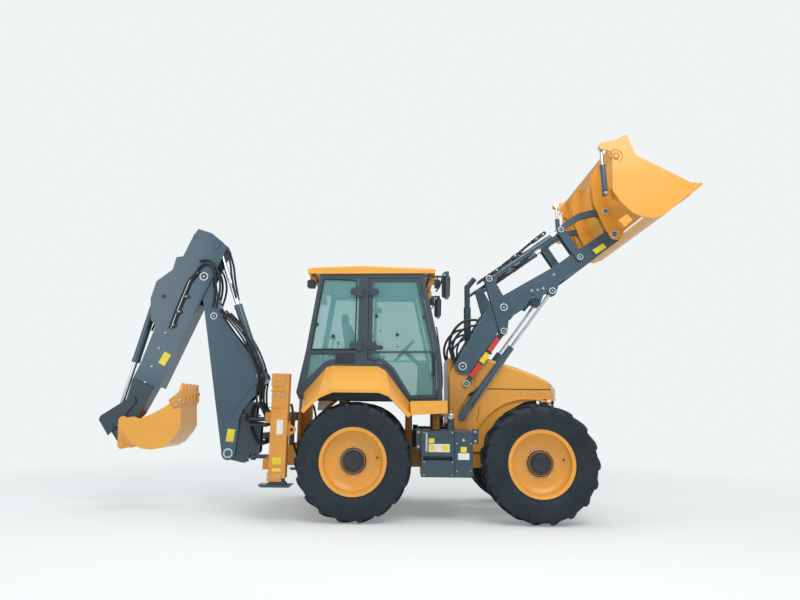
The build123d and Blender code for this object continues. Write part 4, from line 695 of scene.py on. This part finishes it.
def cab_inside(bm):
    # seat: base, cushion, back and headrest with rounded edges
    block(bm, -60, 260, -200, 200, 1600, 1700, 0)
    prism(bm, [(-100, 1702), (330, 1716), (352, 1762), (346, 1800), (300, 1836), (-60, 1812)],
          -238, 238, 1)
    prism(bm, [(-60, 1800), (-20, 1860), (-130, 2330), (-170, 2352), (-250, 2340), (-160, 1800)],
          -228, 228, 1)
    prism(bm, [(-188, 2352), (-180, 2480), (-206, 2496), (-262, 2490), (-266, 2352)], -128, 128, 1)
    for y in (-300, 262):
        prism(bm, [(-80, 1930), (230, 1960), (240, 1990), (-90, 1975)], y, y + 38, 1)
    # front console and the column
    prism(bm, [(740, 1302), (940, 1302), (930, 1700), (862, 1880), (762, 1862)], -200, 200, 0)
    # side console on the right with its hand levers
    prism(bm, [(-140, 1562), (420, 1562), (440, 1760), (380, 1800), (-140, 1800)], -610, -380, 0)
    # rear lever pods
    for y in (-330, 250):
        prism(bm, [(-420, 1562), (-330, 1562), (-320, 1960), (-350, 2020), (-420, 2020)],
              y, y + 80, 0)


bm = bmesh.new()
cab_inside(bm)
inside = add_object("cab_furniture", bm, ["plastic", "seat"], "chassis", bevel=0.018, segments=3)
STEERING_X, STEERING_Z, STEERING_R, STEERING_GRIP = 575, 2027, 180, 14
RING_STEPS, GRIP_STEPS = 48, 10
SPOKE_FACES = ((0, 1, 3, 2), (4, 6, 7, 5), (0, 2, 6, 4), (1, 5, 7, 3), (0, 4, 5, 1), (2, 3, 7, 6))


def steering_wheel(bm):
    """A ring and three spokes, tilted on the column."""
    tilt = Matrix.Rotation(math.atan2(-260, 240), 4, "Y")

    def place(x, y, z):
        v = tilt @ Vector((x, y, z))
        return bm.verts.new(at(STEERING_X + v.x, STEERING_Z + v.z, v.y))

    rows = []
    for i in range(RING_STEPS):
        a = 2 * math.pi * i / RING_STEPS
        row = []
        for k in range(GRIP_STEPS):
            b = 2 * math.pi * k / GRIP_STEPS
            r = STEERING_R + STEERING_GRIP * math.cos(b)
            row.append(place(r * math.cos(a), r * math.sin(a), STEERING_GRIP * math.sin(b)))
        rows.append(row)
    for i in range(RING_STEPS):
        a, b = rows[i], rows[(i + 1) % RING_STEPS]
        for k in range(GRIP_STEPS):
            j = (k + 1) % GRIP_STEPS
            bm.faces.new((a[k], a[j], b[j], b[k]))
    for turn in (0, 120, 240):
        a = math.radians(turn)
        spoke = [place(r * math.cos(a) - s * w * math.sin(a), r * math.sin(a) + s * w * math.cos(a), h)
                 for r, w in ((0, 17), (178, 11)) for s in (-1, 1) for h in (-5, 5)]
        for f in SPOKE_FACES:
            bm.faces.new([spoke[i] for i in f])


bm = bmesh.new()
steering_wheel(bm)
add_object("steering_wheel", bm, ["plastic"], "chassis", smooth=50)
pipe("steering_column", [(830, 1790, 0), (700, 1910, 0), (590, 2012, 0)], 30, "plastic", "chassis")
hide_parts("cab_interior")
for i, (x, y) in enumerate(((-350, -290), (-350, 290), (0, -520), (90, -520), (180, -520))):
    pipe(f"hand_lever_{i}", [(x, 1800 if i > 1 else 2010, y), (x - 10, 2060, y),
                             (x + 10, 2130, y)], 8, "plastic", "chassis")
    bm = bmesh.new()
    lathe(bm, (x + 10, y, 2120), [(0, 9), (12, 22), (34, 26), (52, 20), (60, 0)], 16, [0] * 4, "Z")
    add_object(f"lever_knob_{i}", bm, ["plastic"], "chassis", smooth=60)


# ------------------------------------------------------------------ side boxes and body
def side_box(bm, side):
    y = 937
    side_prism(bm, [(790, 512), (1146, 512), (1146, 688), (790, 688)], y - 4, y + 3, side, 0)
    side_prism(bm, [(790, 742), (1146, 742), (1146, 1016), (790, 1016)], y - 4, y + 3, side, 0)
    side_prism(bm, [(1162, 512), (1356, 512), (1356, 1016), (1162, 1016)], y - 4, y + 3, side, 0)
    # hinge strip, latch and tabs
    side_prism(bm, [(822, 786), (846, 786), (846, 998), (822, 998)], y + 3, y + 9, side, 1)
    side_prism(bm, [(716, 800), (790, 792), (790, 1040), (716, 1044)], y - 60, y - 50, side, 0)
    side_prism(bm, [(1366, 872), (1438, 880), (1438, 1040), (1366, 1044)], y - 60, y - 50, side, 0)
    for x, z in ((742, 836), (742, 1000), (1400, 905), (1400, 1010)):
        hex_bolt(bm, x, side * (y - 50), z, 22, side, None, 1)
    for x, z in ((1181, 877), (1341, 879), (1179, 574), (1339, 576), (806, 530), (1130, 530),
                 (806, 672), (1130, 672), (806, 998), (1130, 998)):
        dome(bm, x, side * (y + 3), z, 9, side, 1)
    lathe(bm, (1257, side * (y + 3), 917), [(0, 17), (side * 6, 17), (side * 8, 12), (side * 8, 0)],
          20, [1] * 3)


both("side_box_doors", side_box, ["box", "steel"], "chassis", bevel=0.0015)


def box_labels(bm, side):
    y = 940.4
    for x0, x1, z0, z1, mat in ((859, 924, 881, 935, 0), (859, 1100, 782, 872, 1),
                                (1224, 1293, 781, 843, 0), (1193, 1324, 700, 772, 1),
                                (870, 925, 796, 858, 0), (1006, 1086, 796, 858, 0)):
        lift = 0.5 if mat == 0 and z0 == 796 else 0.0
        side_prism(bm, [(x0, z0), (x1, z0), (x1, z1), (x0, z1)], y, y + 0.6 + lift, side, mat)


both("blank_labels_box", box_labels, ["label", "label_white"], "chassis", smooth=0)


def filler(bm, side):
    x, y = 1120, side * 827
    lathe(bm, (x, y, 1150), [(0, 42), (12, 50), (54, 50), (62, 44), (64, 0)], 28, [0] * 4, "Z")
    for i in range(14):
        a = 2 * math.pi * i / 14
        lathe(bm, (x + 50 * math.cos(a), y + 50 * math.sin(a), 1164), [(0, 4), (38, 4)], 6, [0], "Z")


both("filler_caps", filler, ["steel"], "chassis", smooth=40)


def nose_painted_highlight(bm, side):
    # pale strip along the nose's corner, a painted highlight
    side_prism(bm, [(2402, 1606), (2440, 1572), (2476, 1412), (2452, 1408), (2418, 1560)],
               352, 374, side, 1)


both("nose_painted_highlight", nose_painted_highlight, ["yellow", "ring", "grille"], "hood", bevel=0.003)


def hood_cap(bm):
    line = [(1484, 1932), (1620, 1922), (1780, 1864), (2031, 1790), (2279, 1692), (2400, 1627),
            (2441, 1591)]
    rows = []
    for x, z in line:
        t = (x - 1484) / (2441 - 1484)
        half = 205 + 30 * t
        rows.append([bm.verts.new(at(x, z + lift, y)) for y, lift in
                     ((-half, -1), (-half + 8, 4), (half - 8, 4), (half, -1))])
    for a, b in zip(rows, rows[1:]):
        for i in range(3):
            bm.faces.new((a[i], a[i + 1], b[i + 1], b[i]))
    # bonnet vents
    for k in range(9):
        x = 1560 + k * 24
        z = 1917 - (x - 1484) * 0.12
        block(bm, x, x + 9, -150, 150, z - 6, z + 9, 1)


bm = bmesh.new()
hood_cap(bm)
add_object("hood_cap", bm, ["blue_dark", "grille"], "hood", smooth=40)


def arch_points(radius):
    """Points round the front wheel at this radius, as far as the panel reaches."""
    turns = [math.radians(158 - k * 8.2) for k in range(15)]
    points = [(WHEELBASE + radius * math.cos(a), TYRE_R + radius * math.sin(a)) for a in turns]
    return [(x, z) for x, z in points if x < 2460 and z < 1416]


def body_side(bm, side):
    y = 370
    # flared lip round the front wheel's arch
    side_prism(bm, arch_points(752) + arch_points(730)[::-1], y - 6, y + 26, side, 0)
    # panel creases and the seam under the hood
    side_prism(bm, [(1480, 1520), (2466, 1520), (2466, 1527), (1480, 1527)], y - 2, y + 3, side, 1)
    side_prism(bm, [(1484, 1122), (1490, 1122), (1520, 1294), (1514, 1294)], y - 2, y + 3, side, 1)
    for x, z in ((1500, 1470), (1760, 1482), (2040, 1488), (2300, 1486)):
        hex_bolt(bm, x, side * y, z, 15, side, None, 2)


both("body_side_trim", body_side, ["yellow", "seal", "steel"], "chassis", bevel=0.002)


# ------------------------------------------------------------------ loader
LOADER_PINS = {
    "loader_arms": [((1299, 1794), 502, 52), ((2450, 2770), 502, 44)],
    "levelling_links": [((1346, 1583), 480, 40)],
    "rockers": [((1819, 2243), 512, 42), ((1824, 2545), 512, 50), ((1645, 2914), 512, 42)],
    "lever_pins": [((2821, 3216), 516, 38)],
    "front_levers": [((2587, 3580), 514, 40)],
    "bucket_pins": [((3278, 3527), 516, 44)],
    "loader_bucket": [((3177, 3838), 512, 40)],
}
for body, pins in LOADER_PINS.items():
    bm = bmesh.new()
    for (x, z), y, r in pins:
        for side in (-1, 1):
            ring_pin(bm, x, side * y, z, r, side)
    add_object(f"pin_rings_{body}", bm, ["ring", "black"], body, smooth=35)


def along(a, b, share, off=0.0):
    """A point on the line from a to b, moved off millimetres to its left."""
    d = Vector((b[0] - a[0], b[1] - a[1]))
    n = Vector((-d.y, d.x)).normalized()
    return (a[0] + d.x * share + n.x * off, a[1] + d.y * share + n.y * off)


def strip(bm, a, b, lo, hi, half, y_a, y_b, side, mat=0):
    """A flat strip on the line from a to b between two shares of it."""
    side_prism(bm, [along(a, b, lo, -half), along(a, b, hi, -half), along(a, b, hi, half),
                    along(a, b, lo, half)], y_a, y_b, side, mat)


LINK_A, LINK_B = (1346, 1583), (1819, 2243)
# the bodies and spans of each joint that the hoses cross; nothing bends the hoses
TOWER_TO_ARM = ("chassis", "loader_arms")
TOWER_SPAN = (at(1200, 1900), at(1480, 2360))
KNEE_SPAN = (at(-1960, 2700), at(-2230, 3050))
FOOT_SPAN = (at(-1260, 1300), at(-1420, 2000))


def link_stripes(bm, side):
    for lo, hi, mat in ((0.13, 0.37, 0), (0.40, 0.58, 1), (0.62, 0.86, 0)):
        strip(bm, LINK_A, LINK_B, lo, hi, 33, 480.4, 482, side, mat)
    strip(bm, LINK_A, LINK_B, 0.585, 0.612, 46, 462, 492, side, 2)


both("link_stripes", link_stripes, ["red", "stripe", "black"], "levelling_links", bevel=0.001)


def arm_plates(bm, side):
    # gussets welded under the arm, and their bolts
    for pts in ([(2194, 2700), (2300, 2662), (2560, 2990), (2520, 3060)],
                [(2140, 2760), (2210, 2700), (2300, 2860), (2240, 2900)]):
        side_prism(bm, pts, 480, 488, side, 0)
    for x, z in ((2269, 2780), (2340, 2800), (2480, 2985), (2190, 2770)):
        hex_bolt(bm, x, side * 488, z, 24, side, None, 1)
    # clamps of the pipes on the arm's top
    for x, z in ((1760, 3020), (2000, 3216), (2280, 3446), (2364, 3510)):
        side_prism(bm, [(x - 40, z - 30), (x + 40, z + 26), (x + 18, z + 58), (x - 62, z + 2)],
                   380, 486, side, 2)
        hex_bolt(bm, x - 8, side * 486, z + 14, 20, side, None, 1)


both("arm_fittings", arm_plates, ["blue", "steel", "black"], "loader_arms", bevel=0.003)


def arm_label(bm, side):
    side_prism(bm, [(2982, 3312), (3128, 3407), (3171, 3353), (3032, 3259)], 502.4, 503.2, side, 0)


both("blank_label_arm", arm_label, ["label"], "loader_arms", smooth=0)
for hand, side in SIDES:
    for i, (lift, y) in enumerate(((0, 470), (30, 440), (0, 412))):
        pipe(f"arm_pipe_{hand}_{i}",
             [(1500, 2860 + lift, side * y), (1712, 3010 + lift, side * y),
              (2000, 3236 + lift, side * y), (2280, 3476 + lift, side * y),
              (2372, 3548 + lift, side * y)], 11, "steel" if i == 1 else "hose", "loader_arms",
             smooth=False)
    # hoses from the tower over to the arm
    bending_hose(f"tower_hose_{hand}_0",
                 [(1210, 1830, side * 440), (1150, 1960, side * 452),
                  (1134, 2121, side * 462), (1207, 2280, side * 470),
                  (1360, 2400, side * 470), (1513, 2380, side * 462)], 17,
                 "hose", TOWER_TO_ARM, *TOWER_SPAN)
    bending_hose(f"tower_hose_{hand}_1",
                 [(1230, 1830, side * 420), (1190, 1940, side * 430),
                  (1170, 2060, side * 440), (1240, 2200, side * 448),
                  (1370, 2310, side * 450), (1500, 2320, side * 452)], 15,
                 "hose", TOWER_TO_ARM, *TOWER_SPAN)
    bending_hose(f"tower_hose_{hand}_2",
                 [(1250, 1830, side * 400), (1230, 1960, side * 405),
                  (1250, 2080, side * 410), (1330, 2190, side * 418),
                  (1440, 2250, side * 430)], 13, "hose", TOWER_TO_ARM, *TOWER_SPAN)
    # hoses looping along the arm to the jaw's cylinders
    pipe(f"arm_hose_{hand}_0", [(1904, 3080, side * 380), (1923, 3225, side * 370),
                                (2058, 3286, side * 372), (2203, 3302, side * 380),
                                (2349, 3420, side * 384)], 14, "hose", "loader_arms")
    pipe(f"arm_hose_{hand}_1", [(1890, 3050, side * 384), (1960, 3160, side * 360),
                                (2090, 3190, side * 356), (2230, 3290, side * 376),
                                (2330, 3400, side * 380)], 14, "hose", "loader_arms")
    # port pipes on the tilt and lift cylinders
    pipe(f"tilt_pipe_{hand}", [(1759, 3040, side * 440), (1790, 3100, side * 440),
                               (2010, 3262, side * 440), (2140, 3350, side * 440)], 9,
         "steel", "tilt_barrels")
    pipe(f"lift_pipe_{hand}", [(1440, 1300, side * 392), (1470, 1340, side * 392),
                               (1810, 1830, side * 392), (1860, 1890, side * 392)], 9,
         "steel", "lift_barrels")


JAW_PIVOT = (3119, 4335)


def jaw_trim(bm, side):
    # pivot ring and the curved rib along the jaw's end plate
    x, z = JAW_PIVOT
    ring_pin(bm, x, side * 1121, z, 46, side, 0, 1)
    turns = [math.radians(a) for a in range(-60, 200, 20)]
    outer, inner = ([(x + r * math.cos(a), z + r * math.sin(a)) for a in turns] for r in (92, 74))
    side_prism(bm, outer + inner[::-1], 1119, 1126, side, 0)


both("jaw_trim", jaw_trim, ["yellow_frame", "black"], "bucket_jaw", bevel=0.002)


def back_trim(bm, side):
    y = 1099
    # black disc painted as the shade inside an inspection hole, and gusset box on the end plate
    lathe(bm, (3173, side * y, 3836), [(0, 42), (side * 3, 42), (side * 3, 0)], 28, [2] * 2)
    side_prism(bm, [(3225, 3604), (3292, 3537), (3190, 3441), (3116, 3521)], y - 90, y - 2, side, 0)


both("bucket_end_trim", back_trim, ["yellow", "yellow_frame", "black"], "loader_bucket",
     bevel=0.004)


# ------------------------------------------------------------------ rear arm
def dipper_trim(bm, side):
    y = 130
    doubler = [(-2131, 3052), (-2200, 3000), (-2275, 2466), (-2232, 2460), (-2080, 2880),
               (-2050, 2976)]
    side_prism(bm, doubler, y, y + 6, side, 0)
    ring_pin(bm, -2129, side * (y + 8), 2976, 60, side, 2, 3)
    for x, z in ((-2586, 2211), (-2656, 2003), (-2729, 1765), (-2794, 1561)):
        dome(bm, x, side * y, z, 17, side, 1)
    for x, z in ((-2325, 2695), (-2405, 2489), (-2470, 2310)):
        side_prism(bm, [(x - 45, z - 26), (x + 25, z - 10), (x + 18, z + 24), (x - 52, z + 8)],
                   y, y + 34, side, 3)
        hex_bolt(bm, x - 12, side * (y + 34), z, 18, side, None, 1)
    lathe(bm, (-2640, side * y, 2696), [(0, 26), (side * 2, 26), (side * 2, 0)], 24, [3] * 2)


both("dipper_fittings", dipper_trim, ["blue", "steel", "ring", "black"], "dipper", bevel=0.0025)


def dipper_labels(bm, side):
    side_prism(bm, [(-2572, 1962), (-2486, 1917), (-2562, 1771), (-2645, 1817)], 130.4, 131.2,
               side, 0)


both("blank_label_dipper", dipper_labels, ["label"], "dipper", smooth=0)
for hand, side in SIDES:
    for i in range(3):
        off = i * 26
        pipe(f"dipper_pipe_{hand}_{i}",
             [(-2180 - off, 3040, side * 148), (-2290 - off, 2900, side * 148),
              (-2400 - off, 2560, side * 148), (-2484 - off, 2269, side * 148)], 10,
             "steel" if i == 1 else "hose", "dipper", smooth=False)
    bending_hose(f"knee_hose_{hand}_0",
                 [(-1990, 2560, side * 100), (-1940, 2800, side * 160),
                  (-1990, 3080, side * 172), (-2120, 3170, side * 168),
                  (-2230, 3050, side * 156), (-2290, 2900, side * 150)], 16,
                 "hose", ("boom", "dipper"), *KNEE_SPAN)
    bending_hose(f"knee_hose_{hand}_1",
                 [(-1960, 2520, side * 90), (-1880, 2760, side * 150),
                  (-1930, 3060, side * 160), (-2080, 3230, side * 160),
                  (-2200, 3180, side * 150)], 14, "hose", ("boom", "dipper"), *KNEE_SPAN)
    pipe(f"crowd_hose_{hand}", [(-2700, 2800, side * 70), (-2790, 2650, side * 96),
                                (-2800, 2420, side * 96), (-2850, 2260, side * 70)], 14,
         "hose", "dipper")
    pipe(f"back_hose_{hand}", [(-1871, 3380, side * 60), (-1800, 3200, side * 86),
                               (-1770, 2950, side * 86), (-1700, 2700, side * 70)], 15,
         "hose", "dipper_barrel")


def boom_trim(bm, side):
    y = 108
    doubler = [(-1370, 1715), (-1300, 1722), (-1262, 1666), (-1300, 1600), (-1420, 1500),
               (-1560, 1300), (-1640, 1150), (-1700, 1190), (-1617, 1379), (-1500, 1560)]
    side_prism(bm, doubler, y, y + 6, side, 0)
    ring_pin(bm, -1662, side * (y + 2), 677, 62, side, 2, 3)
    ring_pin(bm, -1967, side * y, 2445, 48, side, 2, 3)
    ring_pin(bm, -1313, side * (y + 6), 1666, 40, side, 2, 3)


both("boom_fittings", boom_trim, ["blue", "steel", "ring", "black"], "boom", bevel=0.0025)


def boom_label(bm, side):
    side_prism(bm, [(-1684, 983), (-1587, 973), (-1606, 814), (-1704, 824)], 108.4, 109.2, side, 0)


both("blank_label_boom", boom_label, ["label"], "boom", smooth=0)
for i, (x, dx) in enumerate(((-1250, 0), (-1290, 12), (-1330, 26))):
    for hand, side in SIDES:
        bending_hose(f"boom_hose_{hand}_{i}",
                     [(x + 20, 1240, side * (70 + 22 * i)), (x - 20, 1420, side * (118 + 8 * i)),
                      (x + 10 + dx, 1640, side * (126 + 8 * i)), (x - 130, 2000, side * (124 + 8 * i)),
                      (x - 330, 2300, side * (122 + 8 * i)), (x - 560, 2520, side * (112 + 6 * i))], 13,
                     "hose", ("kingpost", "boom"), *FOOT_SPAN)


def kingpost_hydraulics(bm):
    for x, z, w, h in ((-1485, 1131, 70, 90), (-1166, 1168, 80, 110), (-1180, 900, 90, 80)):
        block(bm, x - w / 2, x + w / 2, -150, 150, z - h / 2, z + h / 2, 0)
        for _ in range(4):
            hex_bolt(bm, x, -150, z + 18, 16, -1, None, 1)
    for z, r in ((1108, 26), (1036, 22)):
        lathe(bm, (-1382, -190, z), [(0, r), (222, r)], 20, [0], "X")
        lathe(bm, (-1382, 190, z), [(0, r), (222, r)], 20, [0], "X")


bm = bmesh.new()
kingpost_hydraulics(bm)
add_object("kingpost_valves", bm, ["black", "steel"], "carriage", smooth=35, bevel=0.003)
for i in range(5):
    y = -170 + i * 85
    pipe(f"kingpost_hose_{i}", [(-1190, 1130, y), (-1260, 1290, y * 1.1), (-1340, 1330, y * 1.1),
                                (-1390, 1200, y), (-1400, 1050, y * 0.9), (-1330, 860, y * 0.9),
                                (-1220, 760, y), (-1160, 880, y)], 15,
         "hose", "carriage")


def hoe_bucket_trim(bm, side):
    y = 305
    # side cutter and its bolts
    side_prism(bm, [(-2403, 1332), (-2249, 1465), (-2215, 1430), (-2250, 1250), (-2330, 1225)],
               y, y + 9, side, 0)
    for x, z in ((-2300, 1390), (-2262, 1330), (-2300, 1270)):
        hex_bolt(bm, x, side * (y + 9), z, 26, side, None, 1)
    ring_pin(bm, -3025, side * 112, 1067, 44, side, 2, 3)


both("hoe_bucket_trim", hoe_bucket_trim, ["yellow_frame", "steel", "ring", "black"], "hoe_bucket",
     bevel=0.003)


# ------------------------------------------------------------------ stabiliser posts
def post_trim(bm, side):
    y = 1031
    side_prism(bm, [(-955, 1500), (-800, 1500), (-800, 1640), (-955, 1640)], y, y + 5, side, 0)
    side_prism(bm, [(-955, 446), (-792, 446), (-792, 540), (-955, 540)], y, y + 8, side, 0)
    for x, z in ((-881, 1579), (-930, 494), (-820, 494), (-930, 1400), (-820, 1400)):
        hex_bolt(bm, x, side * (y + 5), z, 26, side, None, 1)
    for z in (1440, 1250, 600):
        side_prism(bm, [(-965, z), (-784, z), (-784, z + 14), (-965, z + 14)], y, y + 6, side, 0)


both("post_fittings", post_trim, ["yellow_frame", "steel"], "chassis", bevel=0.003)


def post_labels(bm, side):
    side_prism(bm, [(-873, 960), (-801, 960), (-801, 1121), (-873, 1121)], 1031.3, 1032, side, 1)
    side_prism(bm, [(-901, 555), (-807, 555), (-807, 590), (-901, 590)], 1031.3, 1032, side, 0)
    side_prism(bm, [(-901, 630), (-807, 630), (-807, 705), (-901, 705)], 1031.3, 1032, side, 0)


both("blank_labels_post", post_labels, ["label", "label_white"], "chassis", smooth=0)
for hand, side in SIDES:
    pipe(f"leg_hose_{hand}", [(-740, 1300, side * 900), (-700, 1180, side * 940),
                              (-712, 1012, side * 960), (-700, 860, side * 940),
                              (-640, 700, side * 860)], 15, "hose", "chassis")
    pipe(f"side_hose_{hand}", [(1176, 1272, side * 390), (1185, 1437, side * 396),
                               (1300, 1465, side * 400), (1406, 1431, side * 398),
                               (1513, 1538, side * 386)], 13, "hose", "chassis")
